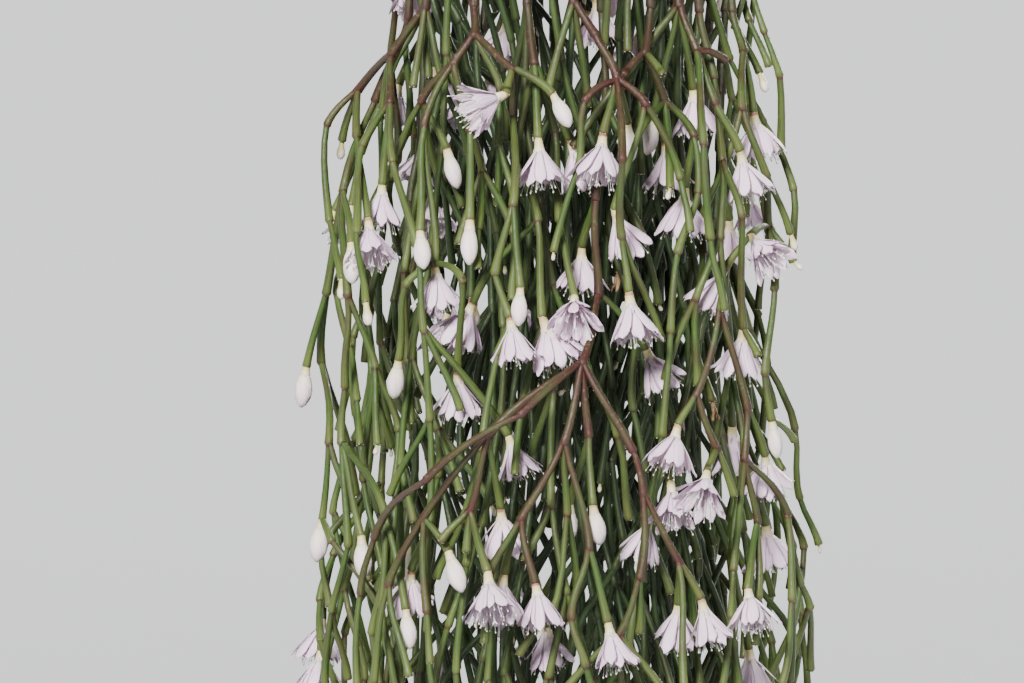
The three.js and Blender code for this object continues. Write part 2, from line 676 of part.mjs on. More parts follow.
// A tube through rings of { at, dir, radius }: a cylinder whose rings are moved to them in turn, each
// turned no more than the course itself turns.
function tubeSolid(rings, faces) {
  const steps = rings.length - 1;
  const geometry = new THREE.CylinderGeometry(1, 1, steps, faces, steps);
  const position = geometry.attributes.position;
  const axis = new THREE.Vector3(0, 1, 0);
  const turn = new THREE.Quaternion();
  const frames = rings.map((ring) => {
    const dir = new THREE.Vector3(...ring.dir).normalize();
    turn.premultiply(new THREE.Quaternion().setFromUnitVectors(axis, dir));
    axis.copy(dir);
    return { turn: turn.clone(), at: new THREE.Vector3(...ring.at), radius: ring.radius };
  });
  const corner = new THREE.Vector3();
  for (let i = 0; i < position.count; i++) {
    corner.fromBufferAttribute(position, i);
    const frame = frames[Math.round(corner.y + steps / 2)];
    corner.y = 0;
    corner.multiplyScalar(frame.radius).applyQuaternion(frame.turn).add(frame.at);
    position.setXYZ(i, corner.x, corner.y, corner.z);
  }
  return solid(geometry);
}

const leaving = (stem) => unit(sub(stem.pull, joints[stem.from].p));
const arriving = (stem) => unit(sub(joints[stem.to].p, stem.pull));
const bowOf = (stem) => {
  const chordMiddle = times(add(joints[stem.from].p, joints[stem.to].p), 0.5);
  return size(sub(stem.mid, chordMiddle));
};

// Chains of stems that run on through their joints, so that each is one tube. At a joint the stem
// that turns least runs on, and the others start chains of their own.
function chainsOf(spray) {
  const own = stems.filter((stem) => stem.spray === spray);
  const chains = [];
  const follow = (first) => {
    const chain = [first];
    for (let last = first; last; ) {
      const along = arriving(last);
      const next = own
        .filter((stem) => stem.from === last.to && dot(leaving(stem), along) > Math.cos(LARGEST_TURN * RAD))
        .sort((a, b) => dot(leaving(b), along) - dot(leaving(a), along))[0];
      if (next) chain.push(next);
      last = next;
    }
    chains.push(chain);
  };
  const used = new Set();
  for (const stem of own) {
    if (used.has(stem)) continue;
    follow(stem);
    for (const piece of chains[chains.length - 1]) used.add(piece);
  }
  return chains;
}

// The rings of a chain: a root that starts as a point inside its parent, and for each stem a slim
// base that widens to a blunt tip, with one more ring where it is bent. A rooted stem starts blunt.
function chainRings(chain) {
  const first = chain[0];
  const out = leaving(first);
  const start = joints[first.from].p;
  const radius = first.baseRadius * FACET_REACH;
  const rings = [{ at: add(start, times(out, NECK_LENGTH)), dir: out, radius }];
  if (joints[first.from].children === 1 && joints[first.from].age === 1) rings[0].at = start;
  else rings.unshift({ at: sub(start, times(out, ROOT_SUNK)), dir: out, radius: 0 });
  chain.forEach((stem, i) => {
    const from = joints[stem.from].p;
    const end = joints[stem.to].p;
    const next = chain[i + 1];
    const dir = leaving(stem);
    if (i > 0 && stem.age < 0.6 && joints[stem.from].children === 1) {
      rings.push({ at: add(from, times(dir, JOINT_STEP)), dir, radius: stem.baseRadius * FACET_REACH });
    }
    if (bowOf(stem) > BOW_LIMIT) {
      const middle = (0.5 * (stem.baseRadius + stem.tipRadius)) * FACET_REACH;
      rings.push({ at: stem.mid, dir: unit(sub(end, from)), radius: middle });
    }
    const along = arriving(stem);
    const tipDir = next ? unit(add(along, leaving(next))) : along;
    rings.push({ at: end, dir: tipDir, radius: stem.tipRadius * FACET_REACH });
  });
  return rings;
}

// A shape that points along +Z moved to a point and turned along dir.
function placed(geometry, point, dir, scale) {
  const up = new THREE.Vector3(0, 0, 1);
  const turn = new THREE.Quaternion().setFromUnitVectors(up, new THREE.Vector3(...dir).normalize());
  const grown = new THREE.Vector3(scale, scale, scale);
  const matrix = new THREE.Matrix4().compose(new THREE.Vector3(...point), turn, grown);
  return solid(geometry.clone().applyMatrix4(matrix));
}

function triangles(points, faces) {
  const geometry = new THREE.BufferGeometry();
  geometry.setAttribute("position", new THREE.Float32BufferAttribute(points.flat(), 3));
  geometry.setIndex(faces.flat());
  return geometry;
}

const ringPoint = (z, radius, share) => [
  Math.cos(share * 2 * Math.PI) * radius,
  Math.sin(share * 2 * Math.PI) * radius,
  z,
];

// A bell flower from its seat at 0 along +Z: a slim ovary, pointed petals that join as a bell, and a
// deep mouth whose floor is one point.
function bellGeometry() {
  const petals = BLOOM_PETALS;
  const notchReach = BLOOM_LENGTH - 3.8;
  const notchRadius = BLOOM_RADIUS - 2;
  const points = [];
  const faces = [];
  for (let i = 0; i < petals; i++) points.push(ringPoint(WAIST_REACH, WAIST_RADIUS, i / petals));
  for (let i = 0; i < petals; i++) points.push(ringPoint(BLOOM_LENGTH, BLOOM_RADIUS, i / petals));
  for (let i = 0; i < petals; i++) points.push(ringPoint(notchReach, notchRadius, (i + 0.5) / petals));
  points.push([0, 0, MOUTH_FLOOR], [0, 0, -FLOWER_SUNK]);
  const floor = 3 * petals;
  const seat = floor + 1;
  for (let i = 0; i < petals; i++) {
    const j = (i + 1) % petals;
    const tip = petals + i;
    const nextTip = petals + j;
    const notch = 2 * petals + i;
    faces.push([seat, j, i], [i, notch, tip], [i, j, notch], [j, nextTip, notch]);
    faces.push([floor, tip, notch], [floor, notch, nextTip]);
  }
  return triangles(points, faces);
}

// A closed bud from its seat at 0 along +Z: slim at the ovary and full near its blunt end.
function budGeometry() {
  const points = [];
  const faces = [];
  for (let i = 0; i < BUD_FACES; i++) points.push(ringPoint(BUD_LENGTH * 0.62, BUD_RADIUS, i / BUD_FACES));
  points.push([0, 0, BUD_LENGTH], [0, 0, -FLOWER_SUNK]);
  for (let i = 0; i < BUD_FACES; i++) {
    const j = (i + 1) % BUD_FACES;
    faces.push([i, j, BUD_FACES], [j, i, BUD_FACES + 1]);
  }
  return triangles(points, faces);
}

// Where a flower that is a piece of its own sits: a touch clear of its stem's tip.
function clearSeat(flower) {
  const { p, dir } = joints[flower.joint];
  const past = TOUCH_GAP / dot(dir, flower.dir);
  return add(p, times(flower.dir, FLOWER_SUNK * flower.scale + past));
}

// A round solid from its outline as [radius, height] pairs.
function turned(outline, sides) {
  const profile = outline.map(([radius, z]) => new THREE.Vector2(radius, z));
  const geometry = new THREE.LatheGeometry(profile, sides);
  return solid(geometry.rotateX(Math.PI / 2));
}

// A round bar along Z, used for holes.
function barSolid(radius, fromZ, toZ, x, y, sides) {
  const geometry = new THREE.CylinderGeometry(radius, radius, toZ - fromZ, sides);
  geometry.rotateX(Math.PI / 2).translate(x, y, (fromZ + toZ) / 2);
  return solid(geometry);
}

// The pot's outer radius at a height over its base.
const potRadius = (height) => POT_BASE_RADIUS + ((POT_TOP_RADIUS - POT_BASE_RADIUS) * height) / POT_HEIGHT;

function potSolid() {
  const wallTop = POT_HEIGHT - LIP_THICKNESS;
  const floorTop = FOOT_HEIGHT + POT_FLOOR;
  const heights = [
    [0, FOOT_HEIGHT],
    [POT_BASE_RADIUS - FOOT_WIDTH, FOOT_HEIGHT],
    [POT_BASE_RADIUS - FOOT_WIDTH, 0],
    [POT_BASE_RADIUS, 0],
    [potRadius(wallTop), wallTop],
    [LIP_RADIUS, wallTop],
    [LIP_RADIUS, POT_HEIGHT - 0.6],
    [LIP_RADIUS - 0.6, POT_HEIGHT],
    [POT_TOP_RADIUS - POT_WALL, POT_HEIGHT],
    [potRadius(floorTop) - POT_WALL, floorTop],
    [0, floorTop],
  ];
  let shape = turned(heights.map(([radius, z]) => [radius, z + POT_BASE_Z]), POT_SIDES);
  for (const azimuth of WIRE_AZIMUTHS) {
    const [x, y] = onCircle(azimuth, HANGER_CIRCLE_RADIUS, 0);
    shape = shape.subtract(barSolid(LIP_HOLE_RADIUS, LIP_UNDER_Z - 1, RIM_Z + 1, x, y, 6));
  }
  for (let i = 0; i < DRAIN_HOLES; i++) {
    const [x, y] = onCircle((i * 360) / DRAIN_HOLES, DRAIN_CIRCLE_RADIUS, 0);
    shape = shape.subtract(barSolid(DRAIN_HOLE_RADIUS, POT_BASE_Z - 1, POT_BASE_Z + floorTop + 1, x, y, 8));
  }
  return shape;
}

// Soil fills the pot from its floor to a low flat crown, with a plain hole for each rooted stem.
function soilSolid() {
  const floorTop = FOOT_HEIGHT + POT_FLOOR + TOUCH_GAP;
  const soilTop = POT_HEIGHT - SOIL_DEPTH_BELOW_RIM;
  const inner = (height) => potRadius(height) - POT_WALL - TOUCH_GAP - 0.1;
  const outline = [
    [0, floorTop],
    [inner(floorTop), floorTop],
    [inner(soilTop), soilTop],
    [SOIL_CROWN_RADIUS, soilTop + SOIL_CROWN],
    [0, soilTop + SOIL_CROWN],
  ];
  let shape = turned(outline.map(([radius, z]) => [radius, z + POT_BASE_Z]), POT_SIDES);
  for (const stem of stems) {
    const start = joints[stem.from].p;
    if (start[2] > SOIL_TOP_Z - ROOT_DEPTH + 1) continue;
    const low = start[2] - TOUCH_GAP;
    const hole = barSolid(STEM_HOLE_RADIUS, low, SOIL_TOP_Z + SOIL_CROWN + 1, start[0], start[1], 8);
    shape = shape.subtract(hole);
  }
  return shape;
}

function ringsAlong(points, radius) {
  return points.map((point, i) => {
    const before = points[Math.max(i - 1, 0)];
    const after = points[Math.min(i + 1, points.length - 1)];
    return { at: point, dir: unit(sub(after, before)), radius };
  });
}

// The hook: an open loop over the rail and a straight shank down into the ferrule.
function hookSolid() {
  const reach = HOOK_INNER_RADIUS + HOOK_WIRE_RADIUS;
  const points = [];
  for (let i = 0; i <= HOOK_STEPS; i++) {
    const angle = (HOOK_TIP_ANGLE - (i * (HOOK_TIP_ANGLE + 62)) / HOOK_STEPS) * RAD;
    points.push([Math.cos(angle) * reach, 0, Math.sin(angle) * reach - HOOK_INNER_RADIUS]);
  }
  const last = points[points.length - 1];
  points.push([0, 0, last[2] - 5]);
  points.push([0, 0, FERRULE_TOP_Z - FERRULE_HOLE_DEPTH + TOUCH_GAP]);
  return tubeSolid(ringsAlong(points, HOOK_WIRE_RADIUS), WIRE_FACES);
}

function ferruleSolid() {
  const bottom = FERRULE_TOP_Z - FERRULE_HEIGHT;
  const outline = [
    [0, bottom],
    [FERRULE_RADIUS - 0.6, bottom],
    [FERRULE_RADIUS, bottom + 0.6],
    [FERRULE_RADIUS, FERRULE_TOP_Z - 2],
    [FERRULE_RADIUS - 2, FERRULE_TOP_Z],
    [0, FERRULE_TOP_Z],
  ];
  const shankHole = HOOK_WIRE_RADIUS + TOUCH_GAP + 0.2;
  const wireHole = HANGER_WIRE_RADIUS + TOUCH_GAP + 0.2;
  let shape = turned(outline, FERRULE_SIDES);
  const shankFloor = FERRULE_TOP_Z - FERRULE_HOLE_DEPTH;
  shape = shape.subtract(barSolid(shankHole, shankFloor, FERRULE_TOP_Z + 1, 0, 0, 6));
  for (const azimuth of WIRE_AZIMUTHS) {
    const [x, y] = onCircle(azimuth, FERRULE_WIRE_CIRCLE, 0);
    shape = shape.subtract(barSolid(wireHole, bottom - 1, bottom + FERRULE_HOLE_DEPTH, x, y, 6));
  }
  return shape;
}

growPlant();

const potMaterial = new THREE.MeshStandardMaterial({ color: 0x9a5f45, roughness: 0.75 });
const soilMaterial = new THREE.MeshStandardMaterial({ color: 0x3a2a1e, roughness: 1 });
const wireMaterial = new THREE.MeshStandardMaterial({ color: 0x8f9396, roughness: 0.4, metalness: 1 });
const stemMaterial = new THREE.MeshStandardMaterial({ color: 0x6f8148, roughness: 0.5 });
const petalMaterial = new THREE.MeshStandardMaterial({ color: 0xe6dce8, roughness: 0.6 });

const part = new THREE.Group();
part.add(meshOf("pot", potSolid(), potMaterial));
part.add(meshOf("soil", soilSolid(), soilMaterial));
part.add(meshOf("hanger_hook", hookSolid(), wireMaterial));
part.add(meshOf("hanger_ferrule", ferruleSolid(), wireMaterial));
WIRE_AZIMUTHS.forEach((azimuth, i) => {
  const points = WIRE_COURSE.map(([radius, z]) => onCircle(azimuth, radius, z));
  const wire = tubeSolid(ringsAlong(points, HANGER_WIRE_RADIUS), WIRE_FACES);
  part.add(meshOf(`hanger_wire_${i + 1}`, wire, wireMaterial));
});

const bell = bellGeometry();
const bud = budGeometry();
const twoDigits = (number) => String(number).padStart(2, "0");
const ownBlooms = flowers
  .filter((flower) => flower.kind === "bloom" && dot(flower.dir, joints[flower.joint].dir) > 0.75)
  .slice(0, BLOOM_NODES);
for (let spray = 0; spray < FRONT_CLUMPS.length + BACK_CLUMPS; spray++) {
  const pieces = chainsOf(spray).map((chain) => tubeSolid(chainRings(chain), STEM_FACES));
  for (const flower of flowers) {
    if (flower.spray !== spray || ownBlooms.includes(flower)) continue;
    const source = flower.kind === "bloom" ? bell : bud;
    pieces.push(placed(source, joints[flower.joint].p, flower.dir, flower.scale));
  }
  const shape = pieces.reduce((whole, piece) => whole.add(piece));
  part.add(meshOf(`spray_${twoDigits(spray + 1)}`, shape, stemMaterial));
}
ownBlooms.forEach((flower, i) => {
  const shape = placed(bell, clearSeat(flower), flower.dir, flower.scale);
  part.add(meshOf(`bloom_${twoDigits(i + 1)}`, shape, petalMaterial));
});

export default part;
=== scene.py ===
"""The look of a potted pendent cactus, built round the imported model.

The growth below follows the same rules, sizes and draws as the solids, so each stem and flower lies
where its solid is. Growth is in millimetres, and meshes are in metres.
"""
import json
import math

import bpy
import numpy as np
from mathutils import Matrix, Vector

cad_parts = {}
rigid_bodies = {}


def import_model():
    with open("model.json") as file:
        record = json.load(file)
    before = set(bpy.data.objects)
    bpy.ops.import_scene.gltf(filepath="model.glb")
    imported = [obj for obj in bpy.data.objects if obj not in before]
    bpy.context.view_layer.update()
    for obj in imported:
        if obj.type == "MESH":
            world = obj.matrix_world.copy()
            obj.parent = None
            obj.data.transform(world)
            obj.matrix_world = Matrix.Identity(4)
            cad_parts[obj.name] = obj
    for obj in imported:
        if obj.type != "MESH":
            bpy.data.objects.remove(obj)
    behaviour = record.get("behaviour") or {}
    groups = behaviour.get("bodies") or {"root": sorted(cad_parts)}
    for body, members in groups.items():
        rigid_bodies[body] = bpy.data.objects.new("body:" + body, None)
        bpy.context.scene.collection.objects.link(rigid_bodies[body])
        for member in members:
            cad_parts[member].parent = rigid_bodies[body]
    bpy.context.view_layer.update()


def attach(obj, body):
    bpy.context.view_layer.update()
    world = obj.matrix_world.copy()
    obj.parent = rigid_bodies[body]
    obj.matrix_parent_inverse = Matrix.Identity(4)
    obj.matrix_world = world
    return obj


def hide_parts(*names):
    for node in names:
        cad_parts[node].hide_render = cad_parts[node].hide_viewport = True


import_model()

MM = 0.001
RAD = math.pi / 180

# Pot, soil and hanger
RIM_Z = -230.0
POT_HEIGHT = 78.0
POT_BASE_Z = RIM_Z - POT_HEIGHT
POT_BASE_RADIUS = 28.5
POT_TOP_RADIUS = 38.5
POT_WALL = 2.0
POT_FLOOR = 2.4
FOOT_HEIGHT = 1.8
FOOT_WIDTH = 4.0
LIP_RADIUS = 44.5
LIP_THICKNESS = 2.6
LIP_HOLE_RADIUS = 1.35
DRAIN_HOLES = 4
DRAIN_HOLE_RADIUS = 3.0
DRAIN_CIRCLE_RADIUS = 14.0
SOIL_DEPTH_BELOW_RIM = 9
SOIL_TOP_Z = RIM_Z - SOIL_DEPTH_BELOW_RIM
SOIL_CROWN = 2.0
SOIL_CROWN_RADIUS = 27.5
TOUCH_GAP = 0.3
HOOK_WIRE_RADIUS = 1.4
HOOK_INNER_RADIUS = 10.0
HOOK_TIP_ANGLE = 200.0
HANGER_WIRE_RADIUS = 0.9
HANGER_CIRCLE_RADIUS = 41.6
FERRULE_RADIUS = 5.0
FERRULE_TOP_Z = -44.0
FERRULE_HEIGHT = 16.0
FERRULE_HOLE_DEPTH = 6.0
FERRULE_WIRE_CIRCLE = 2.7
WIRE_AZIMUTHS = [18, 138, 258]

# Plant
FACET_REACH = 1.2
STEM_GAP = 0.45
HANG_RADIUS = 51
FRONT_SHIFT = -3.3
FRONT_TOP_Z = POT_BASE_Z - 13
LOWEST_Z = FRONT_TOP_Z - 262
CLUB_BASE_RADIUS = 0.95
CLUB_TIP_RADIUS = 1.35
OLD_BASE_RADIUS = 1.3
OLD_TIP_RADIUS = 1.6
BLOOM_LENGTH = 15.5
BLOOM_RADIUS = 6.6
FLOWER_SUNK = 1.3
BUD_LENGTH = 12.5
BLOOM_NODES = 41
SEED = 311

# How stems grow: degrees for sweep and spread, millimetres for length, and droop as a pull downwards
LEADER = dict(sweep=60, spread=9, droop=0.45, length=29, tries=24)
SIDE_BRANCH = dict(sweep=24, spread=42, droop=0.85, age=0.25, tries=14)
FURTHER_BRANCH = dict(sweep=24, spread=22, droop=0.5, age=0, tries=14)
BRANCH_HABITS = (SIDE_BRANCH, FURTHER_BRANCH)
SIDE_LENGTHS = (19, 28)
RIM_TWIG_LENGTHS = (16, 24)
SOIL_TWIG_LENGTHS = (13, 18)
FRONT_ENDS = (205, 250)
BACK_ENDS = (205, 252)
MOST_LEADER_JOINTS = 16
BRANCH_ORDERS = 2
ORDER_LOSS = 0.2
DOUBLE_FORK_SHARE = 0.36
FRONT_AGE = 0.7
FRONT_AGE_STEP = 0.13
FRONT_ARCH = 0.24
FLOWER_ARCH = 0.3
BLOOM_SCALES = (0.94, 1.06)
SMALLER = 0.8
BUD_SCALES = (0.85, 1.05)
SMALL_BUD_SCALES = (0.4, 0.55)
FRONT_SHARES = dict(bloom=0.3, bud=0.2, fork=0.5, sides=1.5)
BACK_SHARES = dict(bloom=0.36, bud=0.2, fork=0.5, sides=1.9)
RIM_SHARES = dict(bloom=0.1, bud=0.15, fork=0.3)
LEADER_TIP_SHARES = dict(bloom=0.45, bud=0.3)
LENGTH_SPREAD = (0.82, 1.18)
SHORTER_BY_TRY = 0.02
SWEEP_BY_TRY = 9
SPREAD_WAVER = 6
EDGE_WAVER = 3
YOUNGER = (0.04, 0.16)
FORK_SHORTER = (0.72, 0.98)
END_SCALES = (0.88, 1.06)
END_BUD_SCALES = (0.5, 1)
FLOWER_TRIES = 14
FLOWER_LEAN = 0.16
LEAN_BY_TRY = 0.07
FLOWER_AHEAD = 0.9
FLOWER_NOD = (0, 0, -0.4)

# The room that stems leave round the pot
OVER_RIM = 4
UNDER_BASE = 3
POT_ROOM = 2
POT_ROOM_FLARE = 1.15
POT_GAP = 1.5

# How long the rows of bars and balls may grow, and a very short line that stands for a ball's centre
MOST_ROWS = 8192
DOT = (0, 0, 0.01)


# Vectors as plain tuples
def add(a, b):
    return (a[0] + b[0], a[1] + b[1], a[2] + b[2])


def sub(a, b):
    return (a[0] - b[0], a[1] - b[1], a[2] - b[2])


def times(a, k):
    return (a[0] * k, a[1] * k, a[2] * k)


def dot(a, b):
    return a[0] * b[0] + a[1] * b[1] + a[2] * b[2]


def unit(a):
    return times(a, 1 / math.sqrt(dot(a, a)))


def level(a):
    return math.sqrt(a[0] * a[0] + a[1] * a[1])


def clamp(x, low, high):
    return min(high, max(low, x))


def on_circle(azimuth, radius, z):
    return (math.sin(azimuth * RAD) * radius, -math.cos(azimuth * RAD) * radius, z)


def random_source(seed):
    """A repeatable draw between low and high."""
    state = [seed]

    def draw(low, high):
        state[0] = (state[0] * 48271) % 2147483647
        return low + ((high - low) * state[0]) / 2147483647

    return draw


def dots(a, b):
    return a[..., 0] * b[..., 0] + a[..., 1] * b[..., 1] + a[..., 2] * b[..., 2]


def line_gaps(p, q, u, v):
    """Shortest distances between the straight lines p to q and u to v, for many lines at once."""
    d1, d2, r = q - p, v - u, p - u
    a, e, f, c, b = dots(d1, d1), dots(d2, d2), dots(d2, r), dots(d1, r), dots(d1, d2)
    spread = a * e - b * b
    skew = spread > 1e-9
    s = np.where(skew, np.clip((b * f - c * e) / np.where(skew, spread, 1), 0, 1), 0)
    t = (b * s + f) / e
    s = np.where(t < 0, np.clip(-c / a, 0, 1), np.where(t > 1, np.clip((b - c) / a, 0, 1), s))
    t = np.clip(t, 0, 1)
    gap = p + d1 * s[..., None] - (u + d2 * t[..., None])
    return np.sqrt(dots(gap, gap))


# How far from the axis the curtain of stems reaches, as (drop below the front's top, radius).
ENVELOPE = [(-60, 55), (0, 52), (25, 62), (60, 71), (190, 75), (225, 66), (262, 42)]


def envelope(z):
    drop = FRONT_TOP_Z - z
    if drop <= ENVELOPE[0][0]:
        return ENVELOPE[0][1]
    for (d0, r0), (d1, r1) in zip(ENVELOPE, ENVELOPE[1:]):
        if drop <= d1:
            return r0 + ((r1 - r0) * (drop - d0)) / (d1 - d0)
    return ENVELOPE[-1][1]


class Rows:
    """Rows of numbers that grow, kept as one array."""

    def __init__(self, width):
        self.data = np.zeros((MOST_ROWS, width))
        self.count = 0

    def push(self, *row):
        self.data[self.count] = row
        self.count += 1

    def rows(self):
        return self.data[: self.count]


# Joints are the places where stems meet, stems run from joint to joint, and bars (ends, radius, from,
# to, spray) and balls (centre, radius) are the room that stems, flowers and hanger wires take up.
joints, stems, flowers = [], [], []
bars, balls = Rows(10), Rows(4)


def hits_pot(p, radius):
    if p[2] > RIM_Z + OVER_RIM or p[2] < POT_BASE_Z - UNDER_BASE:
        return False
    share = clamp(((p[2] - POT_BASE_Z) / POT_HEIGHT) * POT_ROOM_FLARE, 0, 1)
    reach = POT_BASE_RADIUS + POT_ROOM + (LIP_RADIUS - POT_BASE_RADIUS - POT_ROOM) * share
    return level(p) < reach + radius + POT_GAP


def bar_fits(p, q, radius, joint, spray, may_touch_own, gap=STEM_GAP):
    thick = radius * FACET_REACH
    b = bars.rows()
    need = thick + b[:, 6] * FACET_REACH + gap
    near = (min(p[2], q[2]) <= np.maximum(b[:, 2], b[:, 5]) + need) & (
        max(p[2], q[2]) >= np.minimum(b[:, 2], b[:, 5]) - need
    )
    if joint >= 0:
        near &= (b[:, 7] != joint) & (b[:, 8] != joint)
    if may_touch_own:
        near &= b[:, 9] != spray
    b, need = b[near], need[near]
    start, end = np.array(p), np.array(q)
    if len(b) and (line_gaps(start, end, b[:, :3], b[:, 3:6]) < need).any():
        return False
    c = balls.rows()
    if not len(c):
        return True
    return not (line_gaps(start, end, c[:, :3], c[:, :3] + DOT) < thick + c[:, 3] + gap).any()


def ball_fits(p, radius, joint):
    b = bars.rows()
    b = b[(b[:, 7] != joint) & (b[:, 8] != joint)]
    at = np.array(p)
    need = radius + b[:, 6] * FACET_REACH + STEM_GAP
    if len(b) and (line_gaps(b[:, :3], b[:, 3:6], at, at + DOT) < need).any():
        return False
    c = balls.rows()
    away = c[:, :3] - at
    if len(c) and (np.sqrt(dots(away, away)) < radius + c[:, 3] + STEM_GAP).any():
        return False
    return not hits_pot(p, radius)


def add_joint(p, direction, spray, age):
    joints.append(dict(p=p, dir=direction, spray=spray, age=age, children=0))
    return len(joints) - 1


def middle_of(start, pull, end):
    return add(add(times(start, 0.25), times(pull, 0.5)), times(end, 0.25))


def base_radius_at(age):
    return CLUB_BASE_RADIUS + (OLD_BASE_RADIUS - CLUB_BASE_RADIUS) * age


def tip_radius_at(age):
    return CLUB_TIP_RADIUS + (OLD_TIP_RADIUS - CLUB_TIP_RADIUS) * age


def add_stem(source, pull, end, age, radii=None):
    """A stem as a curve of second order from a joint, drawn towards its pull point, to a new joint."""
    start = joints[source]
    base_radius, tip_radius = radii or (base_radius_at(age), tip_radius_at(age))
    mid = middle_of(start["p"], pull, end)
    to = add_joint(end, unit(sub(end, pull)), start["spray"], age)
    joints[to]["tree"] = start.get("tree", -1)
    start["children"] += 1
    stems.append(dict(source=source, to=to, pull=pull, base=base_radius, tip=tip_radius, age=age))
    bars.push(*start["p"], *mid, tip_radius, source, -1, start["spray"])
    bars.push(*mid, *end, tip_radius, -1, to, start["spray"])
    return to


def stem_fits(source, pull, end, radius, may_touch_own, gap=STEM_GAP):
    start = joints[source]
    mid = middle_of(start["p"], pull, end)
    if hits_pot(mid, radius) or hits_pot(end, radius):
        return False
    rest = (start["spray"], may_touch_own, gap)
    return bar_fits(start["p"], mid, radius, source, *rest) and bar_fits(mid, end, radius, -1, *rest)


# The room that a flower takes along its axis, as (distance from its seat, radius).
ROOM = {
    "bloom": [(4.6, 2), (8.6, 3.3), (12.2, 4.9), (15.4, 6.1)],
    "bud": [(4, 1.8), (8.6, 2.7), (11.5, 2)],
}


def add_flower(joint, kind, direction, scale):
    p, spray = joints[joint]["p"], joints[joint]["spray"]
    for reach, radius in ROOM[kind]:
        if not ball_fits(add(p, times(direction, reach * scale)), radius * scale, joint):
            return False
    for reach, radius in ROOM[kind]:
        balls.push(*add(p, times(direction, reach * scale)), radius * scale)
    flowers.append(dict(joint=joint, kind=kind, dir=direction, scale=scale, spray=spray))
    return True


def place_flower(random, joint, kind, scale):
    """A flower at a tip nods to the ground, and turns away from what stands in its way."""
    for attempt in range(FLOWER_TRIES):
        turn = random(0, 360) * RAD
        lean = random(0, FLOWER_LEAN + LEAN_BY_TRY * attempt)
        nod = add((math.cos(turn) * lean, math.sin(turn) * lean, 0), FLOWER_NOD)
        if add_flower(joint, kind, unit(add(times(joints[joint]["dir"], FLOWER_AHEAD), nod)), scale):
            return True
    return False


def sprout(random, source, wish, azimuth, length, age, gap=STEM_GAP, inset=0):
    """A new stem leaves a joint at an angle, bends down under its weight and finds free room."""
    start = joints[source]
    for attempt in range(wish["tries"]):
        turned = (azimuth + random(-1, 1) * (wish["sweep"] + SWEEP_BY_TRY * attempt)) * RAD
        spread = (wish["spread"] + random(-1, 1) * (SPREAD_WAVER + attempt)) * RAD
        long = length * random(*LENGTH_SPREAD) * (1 - SHORTER_BY_TRY * attempt)
        flat = (math.sin(turned), -math.cos(turned), 0)
        side = unit(sub(flat, times(start["dir"], dot(flat, start["dir"]) * 0.999)))
        out = unit(add(times(start["dir"], math.cos(spread)), times(side, math.sin(spread))))
        down = unit(add(out, (0, 0, -wish["droop"])))
        pull = add(start["p"], times(out, long / 2))
        end = add(pull, times(down, long / 2))
        edge = envelope(end[2]) - inset + random(-EDGE_WAVER, EDGE_WAVER)
        if level(end) > edge or end[2] < LOWEST_Z:
            continue
        if stem_fits(source, pull, end, tip_radius_at(age), False, gap):
            return add_stem(source, pull, end, age)
    return -1


def end_branch(random, joint, shares):
    draw = random(0, 1)
    scale = random(*END_SCALES)
    if draw < shares["bloom"] and place_flower(random, joint, "bloom", scale):
        return
    if draw < shares["bloom"] + shares["bud"]:
        place_flower(random, joint, "bud", scale * random(*END_BUD_SCALES))


def branch(random, source, azimuth, order, length, shares, gap=STEM_GAP, inset=0, habits=BRANCH_HABITS):
    """A side branch: a few joints that fork now and then, each shorter than the last."""
    habit = habits[0 if order == 0 else 1]
    to = sprout(random, source, habit, azimuth, length, habit["age"], gap, inset)
    if to < 0:
        return
    if order < BRANCH_ORDERS and random(0, 1) < shares["fork"] - ORDER_LOSS * order:
        forks = 2 if random(0, 1) < DOUBLE_FORK_SHARE else 1
        turn = random(0, 360)
        for i in range(forks):
            shorter = length * random(*FORK_SHORTER)
            branch(random, to, turn + (i * 360) / forks, order + 1, shorter, shares, gap, inset, habits)
    if joints[to]["children"] == 0:
        end_branch(random, to, shares)


def lead(random, source, end_z, layer, shares, tip_shares=LEADER_TIP_SHARES, gap=STEM_GAP, inset=0):
    """A leading stem hangs from joint to joint down to its own end, with side branches on the way."""
    joint = source
    for _ in range(MOST_LEADER_JOINTS):
        p, age = joints[joint]["p"], joints[joint]["age"]
        if p[2] < end_z:
            break
        around = math.atan2(p[0], -p[1]) / RAD
        wanted = (envelope(p[2] - LEADER["length"] - 1) - 4) * layer
        azimuth = around + (180 if level(p) > wanted else 0)
        younger = max(0, age - random(*YOUNGER))
        following = sprout(random, joint, LEADER, azimuth, LEADER["length"], younger, gap, inset)
        sides = math.floor(random(0, 1) * shares["sides"])
        turn = random(0, 360)
        for i in range(sides):
            long = random(*SIDE_LENGTHS)
            branch(random, joint, turn + (i * 360) / sides, 0, long, shares, gap, inset)
        if following < 0:
            break
        joint = following
    if joints[joint]["children"] == 0:
        end_branch(random, joint, tip_shares)


# Front stems, listed one by one as the viewer sees them. Each joint is its sideways place, its drop below
# the front's top and what leaves it, and a word ends a tip.
def at(x, drop, *following):
    return dict(x=x, drop=drop, following=following, back=0)


def deeper(back, node):
    return {**node, "back": back}


HANG, BLOOM, BUD, SMALL, LEFT, RIGHT = "hang", "bloom", "bud", "small bud", "left", "right"
LEFTWARD = (-0.85, -0.3, -0.42)
RIGHTWARD = (0.5, -0.6, -0.62)

LEFT_ARCH = at(-38, 0, at(-48, 13,
    at(-58, 22,
       at(-67, 32, at(-66, 60, at(-62, 77, SMALL))),
       at(-58, 36, at(-54, 60, BLOOM)),
       at(-63, 36, SMALL)),
    at(-48, 27,
       at(-47, 44, at(-40, 68, at(-38, 92, HANG))),
       at(-56, 39, at(-57, 64, at(-54, 84, SMALL))))))

